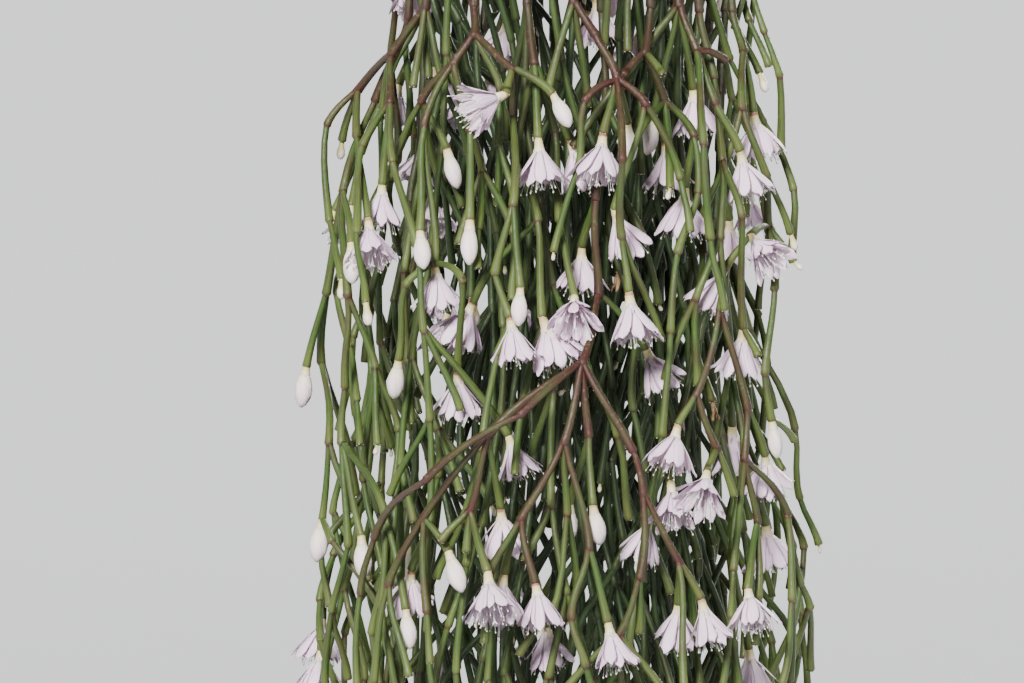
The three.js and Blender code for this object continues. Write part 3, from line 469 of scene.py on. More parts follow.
LEFT_EDGE = at(-43, 2, at(-53, 25, at(-62, 52,
    at(-67, 81, at(-73, 102, BUD), at(-69, 101, at(-66, 124, at(-68, 146, BUD, at(-65, 152))))),
    at(-60, 82, at(-61, 108, at(-62, 124,
       at(-56, 150, BUD),
       at(-49, 144, at(-50, 170, HANG)),
       at(-60, 153, at(-65, 172, at(-67, 196, HANG)))))))))

MIDDLE_FORK = at(-24, 0, at(-24, 9,
    at(-30, 17,
       at(-38, 34,
          at(-39, 64, BUD),
          at(-35, 73, BLOOM, at(-43, 79), at(-27, 78))),
       at(-25, 36, at(-25, 61, BUD)),
       at(-39, 27)),
    at(-13, 19,
       at(-2, 26, BUD),
       at(-15, 26, LEFT),
       at(-13, 31, at(-13, 57, at(-18, 76, at(-14, 88, BLOOM)), at(-11, 80, BUD))))))

WHITE_CLUSTER = at(-9, 0, at(-7, 17,
    at(-6, 38, BLOOM),
    deeper(9, at(3, 38, BLOOM)),
    at(-12, 44, at(-6, 61, at(-5, 88, BLOOM))),
    at(-1, 36, at(0, 61, at(4, 82, BLOOM)))))

RED_STEM = at(4, 0, at(10, 9, at(16, 22,
    at(12, 37, BLOOM),
    at(19, 34, BUD),
    at(24, 29),
    at(7, 28),
    at(17, 45, at(17, 66, at(19, 81, BLOOM))))))

RIGHT_FORK = at(26, 0, at(24, 14,
    at(18, 20),
    at(29, 20),
    at(30, 27,
       at(22, 37, SMALL),
       at(38, 37, at(39, 53, at(33, 70, at(31, 92, HANG)))),
       at(31, 52))))

RIGHT_BELL = at(34, 0, at(39, 13,
    at(47, 15),
    at(44, 28, at(51, 41, BLOOM)),
    at(40, 40, at(42, 66, at(46, 86)))))

RIGHT_EDGE = at(50, 0, at(53, 12, at(52, 29, at(59, 48,
    at(66, 64, SMALL),
    at(60, 62,
       at(67, 72),
       at(61, 80, at(58, 104, at(60, 117, BUD, at(67, 123)))),
       at(54, 65, RIGHT))))))

RIGHT_LONG = at(40, 1, at(44, 20, at(46, 44, at(45, 66, at(45, 86,
    at(38, 110,
       at(33, 118, BLOOM),
       at(30, 125, at(31, 134, BLOOM)),
       at(44, 125, at(49, 138), at(41, 131, BLOOM))),
    at(53, 114, at(52, 128,
       at(49, 159, at(48, 172, at(45, 195, HANG), at(51, 195, HANG))),
       at(56, 146, at(56, 167, at(55, 180))),
       at(65, 144, at(69, 164, at(72, 171)), at(66, 168, at(63, 192, HANG))))))),
    at(51, 60, deeper(6, at(52, 91, BLOOM, at(56, 99)))))))

BROWN_SPRAY = at(12, 1, at(13, 28, at(10, 55, at(11, 82, at(6, 101,
    at(-20, 121,
       at(-38, 144,
          at(-48, 163, at(-52, 190, HANG), at(-42, 188, HANG)),
          at(-37, 170, at(-36, 184)),
          at(-31, 153, BUD)),
       at(-25, 142, at(-33, 150), at(-26, 153), at(-20, 158, BLOOM))),
    at(-11, 115, at(-37, 133, at(-52, 150, at(-56, 166, at(-57, 192, HANG))))),
    at(1, 123,
       at(-11, 144,
          at(-20, 161, at(-21, 178)),
          at(-7, 161, BLOOM)),
       at(8, 152,
          at(3, 171, at(7, 184, HANG)),
          at(13, 172, BLOOM))),
    at(20, 125, at(23, 137,
       at(22, 160, at(16, 176, at(1, 192, HANG), at(18, 198, HANG), at(29, 192, HANG))),
       at(33, 156, at(39, 166, BLOOM), at(34, 190, HANG)))),
    at(8, 121, at(9, 140, BUD)))))))

# Each listed front stem with how far out it hangs, as a share of the envelope: 1 is the very front.
FRONT_STEMS = [
    (LEFT_EDGE, 0.9), (LEFT_ARCH, 1), (MIDDLE_FORK, 1), (WHITE_CLUSTER, 0.9), (RED_STEM, 1),
    (BROWN_SPRAY, 0.76), (RIGHT_FORK, 0.88), (RIGHT_BELL, 1), (RIGHT_LONG, 0.94), (RIGHT_EDGE, 0.97),
]
# Below this drop the brown spray comes forward, in front of its neighbours.
SPRAY_LAYER = 0.8
SPRAY_DROP = 90
FORWARD_LAYER = 1.04

# Flowers that hang between the listed front stems: sideways place, drop of the seat, layer.
DEEPER_FLOWERS = [
    (11, -3, 0.8, BLOOM), (56, 29, 0.75, BLOOM), (30, 38, 0.65, BLOOM), (15, 58, 0.8, BLOOM),
    (6, 68, 0.75, BLOOM), (35, 51, 0.8, BLOOM), (49, 60, 0.75, BLOOM), (47, 74, 0.8, BLOOM),
    (39, 83, 0.85, BLOOM), (-17, 141, 0.9, BLOOM), (-14, 121, 0.75, BLOOM), (-29, 103, 0.75, BLOOM),
    (-42, 159, 0.95, BLOOM), (-16, 159, 0.95, BLOOM), (-43, 170, 0.8, BUD), (34, 168, 0.95, BLOOM),
    (52, 164, 0.9, BLOOM), (58, 127, 0.85, BLOOM), (39, 23, 0.75, BLOOM), (21, 166, 0.8, BLOOM),
    (26, 145, 0.75, BLOOM), (24, 97, 0.7, BLOOM), (36, 101, 0.6, BLOOM), (-51, 50, 0.75, BLOOM),
    (-58, 67, 0.8, BUD), (-46, 100, 0.85, BUD), (-31, 40, 0.7, BUD), (-47, 138, 0.85, BUD),
    (28, 30, 0.7, BUD), (2, 140, 0.75, BUD), (-3, 174, 0.9, BLOOM), (-24, 84, 0.7, BLOOM),
]


LEAST_DEPTH_SQUARED = 60
LAY_TRIES = 25
LAY_STEP = 1.6


def front_depth(x, drop, layer):
    radius = envelope(FRONT_TOP_Z - drop)
    return -layer * math.sqrt(max(radius * radius - x * x, LEAST_DEPTH_SQUARED))


def to_and_fro(turn, step):
    """The steps 0, 1 on, 1 back, 2 on, 2 back and further, one for each turn."""
    return math.ceil(turn / 2) * step * (1 if turn % 2 else -1)


def arched(start, end, arch):
    """The pull point of a stem that rises over the straight line between its ends."""
    return add(times(add(start, end), 0.5), (0, 0, arch * level(sub(end, start))))


def lay_front(random, source, node, layer, age):
    """Lays one joint of a front stem at the free depth nearest to its own, then what grows from it."""
    start = joints[source]["p"]
    own = FORWARD_LAYER if layer < SPRAY_LAYER and node["drop"] > SPRAY_DROP else layer
    x = node["x"] + FRONT_SHIFT
    wanted = front_depth(x, node["drop"], own) + node["back"]
    to = -1
    for attempt in range(2 * LAY_TRIES):
        shift = to_and_fro(attempt % LAY_TRIES, LAY_STEP)
        end = (x, wanted + shift, FRONT_TOP_Z - node["drop"])
        pull = arched(start, end, FRONT_ARCH)
        if stem_fits(source, pull, end, tip_radius_at(age), attempt >= LAY_TRIES):
            to = add_stem(source, pull, end, age)
            joints[to]["laid"] = True
            break
    if to < 0:
        return
    for item in node["following"]:
        if isinstance(item, dict):
            lay_front(random, to, item, own, max(0, age - FRONT_AGE_STEP))
    for item in node["following"]:
        end_front(random, to, item, own)


def end_front(random, to, item, own):
    if item == BLOOM:
        scale = random(*BLOOM_SCALES)
        if not place_flower(random, to, "bloom", scale):
            place_flower(random, to, "bloom", scale * SMALLER)
    if item == BUD:
        place_flower(random, to, "bud", random(*BUD_SCALES))
    if item == SMALL:
        place_flower(random, to, "bud", random(*SMALL_BUD_SCALES))
    if item == LEFT:
        add_flower(to, "bloom", unit(LEFTWARD), 1)
    if item == RIGHT:
        add_flower(to, "bloom", unit(RIGHTWARD), 1)
    if item == HANG:
        lead(random, to, FRONT_TOP_Z - random(*FRONT_ENDS), own, FRONT_SHARES)


TWIG_RISES = (5, 34)
TWIG_BEST_RISE = 18
TWIG_REACH = 4
TWIG_SLANT = 0.8
TWIG_SOURCES = 14
TWIG_TRIES = 9
TWIG_STEP = 2
TWIG_FLOWER_SCALES = (0.9, 1.03)


def hang_flower(random, x, drop, layer, kind):
    """Hangs one flower on a new twig from the nearest joint above its seat that leaves room."""
    z = FRONT_TOP_Z - drop
    wanted = front_depth(x + FRONT_SHIFT, drop, layer)
    options = []
    for index, joint in enumerate(joints):
        rise = joint["p"][2] - z
        if not TWIG_RISES[0] <= rise <= TWIG_RISES[1] or joint["children"] > 3:
            continue
        aside = (joint["p"][0] - x - FRONT_SHIFT, joint["p"][1] - wanted)
        gap = math.sqrt(aside[0] * aside[0] + aside[1] * aside[1])
        if gap < TWIG_REACH + rise * TWIG_SLANT:
            options.append((gap + abs(rise - TWIG_BEST_RISE) * 0.5, index))
    for _, source in sorted(options)[:TWIG_SOURCES]:
        for attempt in range(TWIG_TRIES):
            end = (x + FRONT_SHIFT + random(-1, 1), wanted + to_and_fro(attempt, TWIG_STEP), z)
            pull = arched(joints[source]["p"], end, FLOWER_ARCH)
            if not stem_fits(source, pull, end, CLUB_TIP_RADIUS, False):
                continue
            if not all(ball_fits(add(end, (0, 0, -reach)), radius, -1) for reach, radius in ROOM[kind]):
                continue
            to = add_stem(source, pull, end, 0)
            place_flower(random, to, kind, random(*TWIG_FLOWER_SCALES))
            return


# A main stem's arch over the rim, as (distance from the axis, height over the rim).
ARCH = [(35, 24), (47, 19), (HANG_RADIUS, -4), (HANG_RADIUS + 1, -33), (HANG_RADIUS, -61)]
ARCH_RISES = (-4, 13)
ARCH_WIDER = (-0.5, 2.5)
ARCH_LIFT = 0.16
ARCH_AGE_STEP = 0.06
ROOT_DEPTH = 12
ROOT_LEAN = 0.3
ROOT_PULL = (0, 0, 14)
ROOT_SIZES = (OLD_BASE_RADIUS * 1.2, OLD_TIP_RADIUS * 1.15)
FORK_HEIGHT = 9
ROOT_RADII = [24, 15]
BACK_LAYERS = (0.82, 0.98)
BACK_CLUMPS = 7
BACK_FROM = 85.5
BACK_TO = 280.5
FRONT_CLUMPS = [(0, 1), (2, 3), (4, 5), (6, 7), (8, 9)]
SPRAYS = len(FRONT_CLUMPS) + BACK_CLUMPS


def arch_course(random, fork, clump_azimuth, azimuth):
    """The stems, as (start, pull, end, age), that rise from a clump's fork, arch over the rim and hang
    beside the pot."""
    rise = random(*ARCH_RISES)
    wide = random(*ARCH_WIDER)
    start, direction = joints[fork]["p"], joints[fork]["dir"]
    course = []
    for i, (radius, height) in enumerate(ARCH):
        turn = clump_azimuth + (azimuth - clump_azimuth) * clamp((i + 1) / 3, 0, 1)
        z = RIM_Z + height + (rise if i < 2 else 0)
        end = on_circle(turn + random(-1, 1), radius + wide, z)
        chord = sub(end, start)
        lift = times(direction, math.sqrt(dot(chord, chord)) * ARCH_LIFT)
        pull = add(add(start, times(chord, 0.5)), lift)
        course.append((start, pull, end, 1 - ARCH_AGE_STEP * i))
        start, direction = end, unit(sub(end, pull))
    return course


def add_course(joint, course):
    for _, pull, end, age in course:
        joint = add_stem(joint, pull, end, age)
    return joint


# The hanger wires' course: (distance from the axis, height). It hooks under and round the lip.
LIP_UNDER_Z = RIM_Z - LIP_THICKNESS
WIRE_COURSE = [
    (FERRULE_WIRE_CIRCLE, FERRULE_TOP_Z - FERRULE_HEIGHT + FERRULE_HOLE_DEPTH - TOUCH_GAP),
    (FERRULE_WIRE_CIRCLE, FERRULE_TOP_Z - FERRULE_HEIGHT - 2),
    (HANGER_CIRCLE_RADIUS, RIM_Z + 7),
    (HANGER_CIRCLE_RADIUS, LIP_UNDER_Z - 0.6),
    (HANGER_CIRCLE_RADIUS + 0.8, LIP_UNDER_Z - 1.4),
    (HANGER_CIRCLE_RADIUS + 3.9, LIP_UNDER_Z - 1.4),
    (HANGER_CIRCLE_RADIUS + 4.7, LIP_UNDER_Z - 0.6),
    (HANGER_CIRCLE_RADIUS + 4.7, RIM_Z + 3),
]


def grow_mains(random):
    """The rooted clumps, each with two mains that arch over the rim."""
    clumps = []
    for members in FRONT_CLUMPS:
        clumps.append([])
        for m in members:
            x = FRONT_STEMS[m][0]["x"] + FRONT_SHIFT
            azimuth = math.asin(clamp(x / HANG_RADIUS, -1, 1)) / RAD
            clumps[-1].append(dict(azimuth=azimuth, front=FRONT_STEMS[m], layer=FRONT_STEMS[m][1]))
    step = (BACK_TO - BACK_FROM) / (BACK_CLUMPS * 2 - 1)
    for clump in range(BACK_CLUMPS):
        first = BACK_FROM + step * 2 * clump
        clumps.append([dict(azimuth=first + step * i, layer=layer) for i, layer in enumerate(BACK_LAYERS)])
    mains = []
    for spray, members in enumerate(clumps):
        middle = (members[0]["azimuth"] + members[1]["azimuth"]) / 2
        radius = ROOT_RADII[spray % 2]
        foot = on_circle(middle, radius - ROOT_LEAN, SOIL_TOP_Z - ROOT_DEPTH)
        root = add_joint(foot, (0, 0, 1), spray, 1)
        top = on_circle(middle, radius, RIM_Z + FORK_HEIGHT)
        fork = add_stem(root, add(foot, ROOT_PULL), top, 1, ROOT_SIZES)
        for member in members:
            joint = add_course(fork, arch_course(random, fork, middle, member["azimuth"]))
            mains.append(dict(member, fork=fork, joint=joint))
    return mains


def grow_plant():
    random = random_source(SEED)
    for azimuth in WIRE_AZIMUTHS:
        for before, after in zip(WIRE_COURSE, WIRE_COURSE[1:]):
            p, q = on_circle(azimuth, *before), on_circle(azimuth, *after)
            bars.push(*p, *q, HANGER_WIRE_RADIUS, -1, -1, -1)
    mains = grow_mains(random)
    fronts = sorted((m for m in mains if "front" in m), key=lambda m: -m["layer"])
    for main in fronts:
        joints[main["joint"]]["tree"] = FRONT_STEMS.index(main["front"])
        lay_front(random, main["joint"], main["front"][0], main["layer"], FRONT_AGE)
    for flower in DEEPER_FLOWERS:
        hang_flower(random, *flower)
    for main in mains:
        if "front" not in main:
            end_z = FRONT_TOP_Z - random(*BACK_ENDS)
            lead(random, main["joint"], end_z, main["layer"], BACK_SHARES)
    for main in mains:
        above = next(stem for stem in stems if stem["to"] == main["joint"])["source"]
        turn = random(0, 360)
        branch(random, above, turn, 0, random(*RIM_TWIG_LENGTHS), RIM_SHARES)
        if joints[main["fork"]]["children"] < 4:
            turn = random(0, 360)
            branch(random, main["fork"], turn, 1, random(*SOIL_TWIG_LENGTHS), RIM_SHARES)
    return mains


MAINS = grow_plant()
SOLID_STEMS = len(stems)
SOLID_FLOWERS = len(flowers)
# Stems that only the look has, between those of the solids
MORE_SEED = 7207
MORE_SHARES = dict(bloom=0.0, bud=0.1, fork=0.5, sides=1.7)
MORE_TIP_SHARES = dict(bloom=0.0, bud=0.12)
MORE_STEMS = 2150
MORE_GAP = 0.15
MORE_LAYERS = (0.92, 0.7, 0.5, 0.82, 0.6, 0.36, 0.96, 0.76)
LAYER_SPREAD = (0.9, 1.08)
MORE_FROM = (-352, -272)
MORE_BRANCHES = 6000
MORE_LENGTHS = (20, 33)
MORE_INSET = 3.5
NARROW_SPAN = 9
WIDE_SPAN = 22
ONE_ARCH = [0.5]
TWO_ARCHES = [0.33, 0.67]
ARCH_TRIES = 14
ARCH_TURN = 2.5
ARCH_LAYERS = (0.45, 0.9)
CROWN_SHARE = 0.8
CROWN_SHARES = dict(bloom=0, bud=0.15, fork=0.3)
CROWN_LENGTHS = (15, 25)
CROWN_INSET = -3
MORE_HABITS = (dict(SIDE_BRANCH, spread=30, droop=1.2), dict(FURTHER_BRANCH, droop=0.8))
CELL_DEGREES = 12
CELL_HEIGHT = 10.0
CELL_ROWS = 40
CELL_POINTS = (0.2, 0.5, 0.8)
CELL_CHOICES = 16
LOOK_BELOW = (0, 0, 13.0)
FULL_WEIGHT_RADIUS = 60
INNER_LOSS = 0.55


def azimuth_of(p):
    return math.atan2(p[0], -p[1]) / RAD


def pick(random, options):
    return options[int(random(0, 1) * len(options))]


def free_joints(spray, low, high, most):
    """Joints of one spray between two heights that have room for one more stem."""
    return [
        index
        for index, joint in enumerate(joints)
        if joint["spray"] == spray and low < joint["p"][2] < high and joint["children"] < most
    ]


def cell_of(p):
    around = azimuth_of(p) % 360
    return int(around / CELL_DEGREES), int(clamp((RIM_Z - p[2]) / CELL_HEIGHT, 0, CELL_ROWS - 1))


def fill_cells(cells, first):
    """Counts the stems from a number on in their cells round the axis."""
    for stem in stems[first:]:
        p, q = joints[stem["source"]]["p"], joints[stem["to"]]["p"]
        for share in CELL_POINTS:
            point = add(times(p, 1 - share), times(q, share))
            cells[cell_of(point)] += clamp(level(point) / FULL_WEIGHT_RADIUS, INNER_LOSS, 1)


def course_fits(course, fork, gap):
    for i, (start, pull, end, age) in enumerate(course):
        mid, radius = middle_of(start, pull, end), tip_radius_at(age)
        if not bar_fits(start, mid, radius, -1 if i else fork, -1, False, gap):
            return False
        if not bar_fits(mid, end, radius, -1, -1, False, gap):
            return False
    return True


def lead_more(random, joint, layer, spread):
    """A further leader, at its layer times a draw from the spread."""
    end_z = FRONT_TOP_Z - random(*BACK_ENDS)
    own = layer * random(*spread)
    lead(random, joint, end_z, own, MORE_SHARES, MORE_TIP_SHARES, MORE_GAP, MORE_INSET)


def more_arches(random):
    """Arching stems in the gaps between the mains, over the rim and down beside the pot."""
    order = sorted(MAINS, key=lambda main: main["azimuth"] % 360)
    for before, after in zip(order, order[1:] + order[:1]):
        span = (after["azimuth"] - before["azimuth"]) % 360
        shares = ONE_ARCH if span < WIDE_SPAN else TWO_ARCHES
        for share in shares if span > NARROW_SPAN else []:
            fork = (before if share <= 0.5 else after)["fork"]
            clump = azimuth_of(joints[fork]["p"])
            azimuth = clump + (before["azimuth"] + span * share - clump + 180) % 360 - 180
            for _ in range(ARCH_TRIES):
                course = arch_course(random, fork, clump, azimuth + random(-ARCH_TURN, ARCH_TURN))
                if course_fits(course, fork, MORE_GAP):
                    lead_more(random, add_course(fork, course), 1, ARCH_LAYERS)
                    break


def crown_twigs(random):
    """Short twigs on the arches round the rim and beside the pot."""
    for index in range(len(joints)):
        joint = joints[index]
        if joint["p"][2] > POT_BASE_Z and 0 < joint["children"] < 3 and random(0, 1) < CROWN_SHARE:
            long = random(*CROWN_LENGTHS)
            branch(random, index, random(0, 360), 0, long, CROWN_SHARES, MORE_GAP, CROWN_INSET, MORE_HABITS)


def more_leaders(random):
    """Leaders from joints beside and just under the pot, one for each layer and spray."""
    for layer in MORE_LAYERS:
        for spray in range(SPRAYS):
            options = free_joints(spray, *MORE_FROM, 4)
            if options:
                lead_more(random, pick(random, options), layer, LAYER_SPREAD)


def more_branches(random):
    """Side branches, each from that one of a few picked joints below which the curtain is thinnest."""
    cells = np.zeros((360 // CELL_DEGREES, CELL_ROWS))
    fill_cells(cells, 0)
    for turn in range(MORE_BRANCHES):
        if len(stems) - SOLID_STEMS >= MORE_STEMS:
            break
        options = free_joints(turn % SPRAYS, LOWEST_Z, POT_BASE_Z, 3)
        picked = [pick(random, options) for _ in range(CELL_CHOICES)]
        below = [(cells[cell_of(sub(joints[i]["p"], LOOK_BELOW))], i) for i in picked]
        count = len(stems)
        long = random(*MORE_LENGTHS)
        branch(random, min(below)[1], random(0, 360), 0, long, MORE_SHARES, MORE_GAP, MORE_INSET, MORE_HABITS)
        fill_cells(cells, count)


def grow_more():
    random = random_source(MORE_SEED)
    more_arches(random)
    crown_twigs(random)
    more_leaders(random)
    more_branches(random)


grow_more()


# Meshes: rings of corners with faces between them
def units(v):
    return v / np.maximum(np.linalg.norm(v, axis=-1, keepdims=True), 1e-12)


def circle(sides):
    return 2 * np.pi * np.arange(sides) / sides


def spokes(side, other, angle):
    """The ways out of a centre line, at angles from one way across it towards another."""
    return side * np.cos(angle)[..., None] + other * np.sin(angle)[..., None]


def round_skin(radii, heights, sides):
    """The corners of rings about the Z axis. Heights are one for each ring or for each corner."""
    angle = circle(sides)
    z = np.broadcast_to(heights, (len(radii), sides))
    return np.stack([np.outer(radii, np.cos(angle)), np.outer(radii, np.sin(angle)), z], -1)


def ring_faces(rings, sides):
    """Quads between rings of the same number of corners."""
    i, k = np.meshgrid(np.arange(rings - 1), np.arange(sides), indexing="ij")
    a = i * sides + k
    b = i * sides + (k + 1) % sides
    return np.stack([a, b, b + sides, a + sides], -1).reshape(-1, 4)


def tube_faces(rings, sides):
    """The quads of a tube, and the fans to its two end points, which follow its rings."""
    k = np.arange(sides)
    after = (k + 1) % sides
    first, last = rings * sides, rings * sides + 1
    low = np.stack([after, k, np.full(sides, first)], -1)
    top = (rings - 1) * sides
    high = np.stack([top + k, top + after, np.full(sides, last)], -1)
    return ring_faces(rings, sides), np.concatenate([low, high])


def put_in_scene(name, data):
    piece = bpy.data.objects.new(name, data)
    bpy.context.scene.collection.objects.link(piece)
    return piece


class Batch:
    """Surfaces gathered into one mesh: corners, faces by their number of corners, and two marks."""

    def __init__(self):
        self.points, self.places, self.kinds, self.faces = [], [], [], []
        self.count = 0

    def add(self, points, faces, place=(0, 0, 0), kind=(0, 0, 0), material=0):
        points = np.asarray(points, float).reshape(-1, 3)
        self.points.append(points)
        self.places.append(np.broadcast_to(np.asarray(place, float), points.shape))
        self.kinds.append(np.broadcast_to(np.asarray(kind, float), points.shape))
        for group in faces:
            group = np.asarray(group, int)
            if len(group):
                self.faces.append((group + self.count, material))
        self.count += len(points)

    def add_tube(self, skin, first, last, kind=(0, 0, 0), material=0):
        """Rings of corners, closed by fans to a first and a last point."""
        points = np.concatenate([skin.reshape(-1, 3), [first, last]])
        self.add(points, tube_faces(*skin.shape[:2]), (0, 0, 0), kind, material)

    def build(self, name, materials):
        """The mesh object, which rides on the root body."""
        mesh = bpy.data.meshes.new(name)
        points = np.concatenate(self.points) * MM
        corners = np.concatenate([group.ravel() for group, _ in self.faces])
        sizes = np.concatenate([np.full(len(group), group.shape[1]) for group, _ in self.faces])
        slots = np.concatenate([np.full(len(group), slot) for group, slot in self.faces])
        starts = np.concatenate([[0], np.cumsum(sizes)[:-1]])
        mesh.vertices.add(len(points))
        mesh.loops.add(len(corners))
        mesh.polygons.add(len(sizes))
        mesh.vertices.foreach_set("co", points.astype(np.float32).ravel())
        mesh.loops.foreach_set("vertex_index", corners.astype(np.int32))
        mesh.polygons.foreach_set("loop_start", starts.astype(np.int32))
        for material in materials:
            mesh.materials.append(material)
        mesh.polygons.foreach_set("material_index", slots.astype(np.int32))
        mesh.update(calc_edges=True)
        mesh.validate()
        mesh.shade_smooth()
        for label, values in (("place", self.places), ("kind", self.kinds)):
            mark = mesh.attributes.new(label, "FLOAT_VECTOR", "POINT")
            mark.data.foreach_set("vector", np.concatenate(values).astype(np.float32).ravel())
        piece = put_in_scene(name, mesh)
        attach(piece, "root")
        return piece


# How old the skin of each listed front stem looks, as (drop below the front's top, age), in their order
SKINS = [
    [(0, 0.6), (40, 0.4), (110, 0.3), (150, 0.1)],
    [(0, 0.66), (20, 0.62), (36, 0.3), (60, 0.12)],
    [(0, 0.9), (14, 0.8), (38, 0.4), (66, 0.15)],
    [(0, 0.85), (18, 0.7), (40, 0.35), (80, 0.1)],
    [(0, 1.0), (22, 1.0), (46, 0.5), (80, 0.2)],
    [(0, 0.8), (100, 0.76), (125, 0.68), (148, 0.6), (166, 0.42), (190, 0.1)],
    [(0, 0.85), (14, 0.8), (30, 0.5), (70, 0.2)],
    [(0, 0.75), (13, 0.6), (40, 0.3), (80, 0.12)],
    [(0, 0.5), (30, 0.3), (88, 0.3), (112, 0.6), (132, 0.62), (165, 0.2)],
    [(0, 0.5), (30, 0.34), (60, 0.24), (120, 0.24)],
]
# How much each millimetre to the right takes off that drop, so that a stem looks older there
SKIN_SLANTS = [0, 0, 0, 0, 0, 1.1, 0, 0, 0, 0]
MORE_OLDEST = 0.4
GROWN_AFTER = 0.25
LAST_JOINT = 0.4


def skin_age(index):
    """How brown a stem is, from 0, fresh, to 1."""
    stem = stems[index]
    to = joints[stem["to"]]
    if index >= SOLID_STEMS:
        return min(stem["age"], MORE_OLDEST)
    if to["tree"] < 0:
        return stem["age"]
    drop = FRONT_TOP_Z - to["p"][2] - SKIN_SLANTS[to["tree"]] * max(0, to["p"][0] - FRONT_SHIFT)
    age = float(np.interp(drop, *np.array(SKINS[to["tree"]], float).T))
    if "laid" not in to:
        age = min(age, stem["age"] + GROWN_AFTER)
    return age * (1 if to["children"] else LAST_JOINT)


# A stem's rings, as (place, girth): the neck's places are millimetres from its base, the body's are
# shares of its length, and the tip's and cap's are millimetres from its tip
NECK = np.array([(-1.0, 0.7), (0.1, 1.02), (0.45, 1.1), (0.95, 1.0)])
BODY = np.array([0.2, 0.4, 0.6, 0.78, 0.9])
MORE_BODY = np.array([0.28, 0.56, 0.84])
TIP = np.array([(-0.9, 1.03), (0.0, 1.06)])
CUT_CAP = np.array([(0.22, 0.92), (0.3, 0.62)])
CUT_END = 0.05
FORK_CAP = np.array([(0.5, 0.86), (0.85, 0.5)])
FORK_END = 0.95
CLUB_POWER = 1.6
CROWD_SHARE = 0.42
STEM_SLIM = 0.9
BASE_END = 0.5
WAVER = 0.009
RIPPLE = 0.6
GIRTH_SPREAD = 0.07
EASE = 0.45
MOST_TURN = 0.55
# A stem whose halves span less than this many square millimetres is as good as straight
LEAST_SPAN = 0.5


def onward_ways():
    """The way in which the first stem out of each joint leaves it."""
    ways = {}
    for stem in stems:
        ways.setdefault(stem["source"], unit(sub(stem["pull"], joints[stem["source"]]["p"])))
    return ways


ONWARD = onward_ways()


def stem_rows(indices):
    """The places, sizes, marks and easing into their neighbours of many stems, as arrays."""
    rows = []
    for index in indices:
        stem = stems[index]
        source, to = joints[stem["source"]], joints[stem["to"]]
        out = unit(sub(stem["pull"], source["p"]))
        start = source["p"]
        if source["children"] > 1:
            side = sub(out, times(source["dir"], dot(out, source["dir"])))
            start = add(start, times(side, CROWD_SHARE * tip_radius_at(source["age"]) * 1.5))
        last = unit(sub(to["p"], stem["pull"]))
        turns = (sub(source["dir"], out), sub(ONWARD.get(stem["to"], last), last))
        marks = (skin_age(index), to["children"] > 0)
        rows.append((start, stem["pull"], to["p"], (stem["base"], stem["tip"]), marks, turns))
    return (np.array(column, float) for column in zip(*rows))


def ring_plan(body, long, forked):
    """How far from its base in millimetres each ring of each stem lies, and its own girth."""
    count = len(long)
    cap = np.where(forked[:, None, None], FORK_CAP, CUT_CAP)
    far = [np.tile(NECK[:, 0], (count, 1)), long[:, None] * body, long[:, None] + TIP[:, 0],
           long[:, None] + cap[..., 0]]
    swell = [np.tile(NECK[:, 1], (count, 1)), np.ones((count, len(body))), np.tile(TIP[:, 1], (count, 1)),
             cap[..., 1]]
    return np.concatenate(far, 1), np.concatenate(swell, 1)


def stem_course(p0, p1, p2, turns, far, long, random):
    """The middle of each ring, the way along the stem there, and two ways across it. The course bows and
    sways, and it is eased into the stems before and after it."""
    s = np.clip(far / long[:, None], 0, 1)[..., None]
    centre = (1 - s) ** 2 * p0[:, None] + 2 * s * (1 - s) * p1[:, None] + s**2 * p2[:, None]
    along = units((1 - s) * (p1 - p0)[:, None] + s * (p2 - p1)[:, None])
    centre = centre + along * (far[..., None] - s * long[:, None, None])
    plane = np.cross(p1 - p0, p2 - p1)
    spare = np.cross(p2 - p0, units(random.normal(size=p0.shape)))
    plane = units(np.where(np.linalg.norm(plane, axis=1, keepdims=True) > LEAST_SPAN, plane, spare))
    side = units(np.cross(along, plane[:, None]))
    other = np.cross(along, side)
    wave = random.normal(0, WAVER, (len(p0), 1, 2)) * long[:, None, None]
    ripple = random.normal(0, WAVER * RIPPLE, (len(p0), 1, 2)) * long[:, None, None]
    sway = wave * np.sin(np.pi * s) + ripple * np.sin(2 * np.pi * s)
    centre = centre + side * sway[..., :1] + other * sway[..., 1:]
    turns = turns * np.minimum(1, MOST_TURN / (np.linalg.norm(turns, axis=2, keepdims=True) + 1e-9))
    ease = s * (1 - s) ** 2 * turns[:, None, 0] - s**2 * (1 - s) * turns[:, None, 1]
    return centre + EASE * long[:, None, None] * ease, along, side, other


def stem_marks(far, long, angle, age, tone):
    """What the stem's paint reads at each corner: place holds how far it is from the base and its angle,
    and kind the stem's age and tone and how far the corner is from the tip."""
    count, rings = far.shape
    sides = angle.shape[1]
    place = np.zeros((count, rings * sides + 2, 3))
    skin = place[:, :-2].reshape(count, rings, sides, 3)
    skin[..., 0] = far[:, :, None]
    skin[..., 1] = np.cos(angle)[:, None]
    skin[..., 2] = np.sin(angle)[:, None]
    place[:, :-2] = skin.reshape(count, -1, 3)
    place[:, -2, 0] = -1
    place[:, -1, 0] = long + 0.5
    kind = np.zeros_like(place)
    kind[..., 0] = age[:, None]
    kind[..., 1] = tone[:, None]
    kind[:, :-2, 2] = long[:, None] - np.repeat(far, sides, 1)
    kind[:, -2, 2] = long
    return place.reshape(-1, 3), kind.reshape(-1, 3)


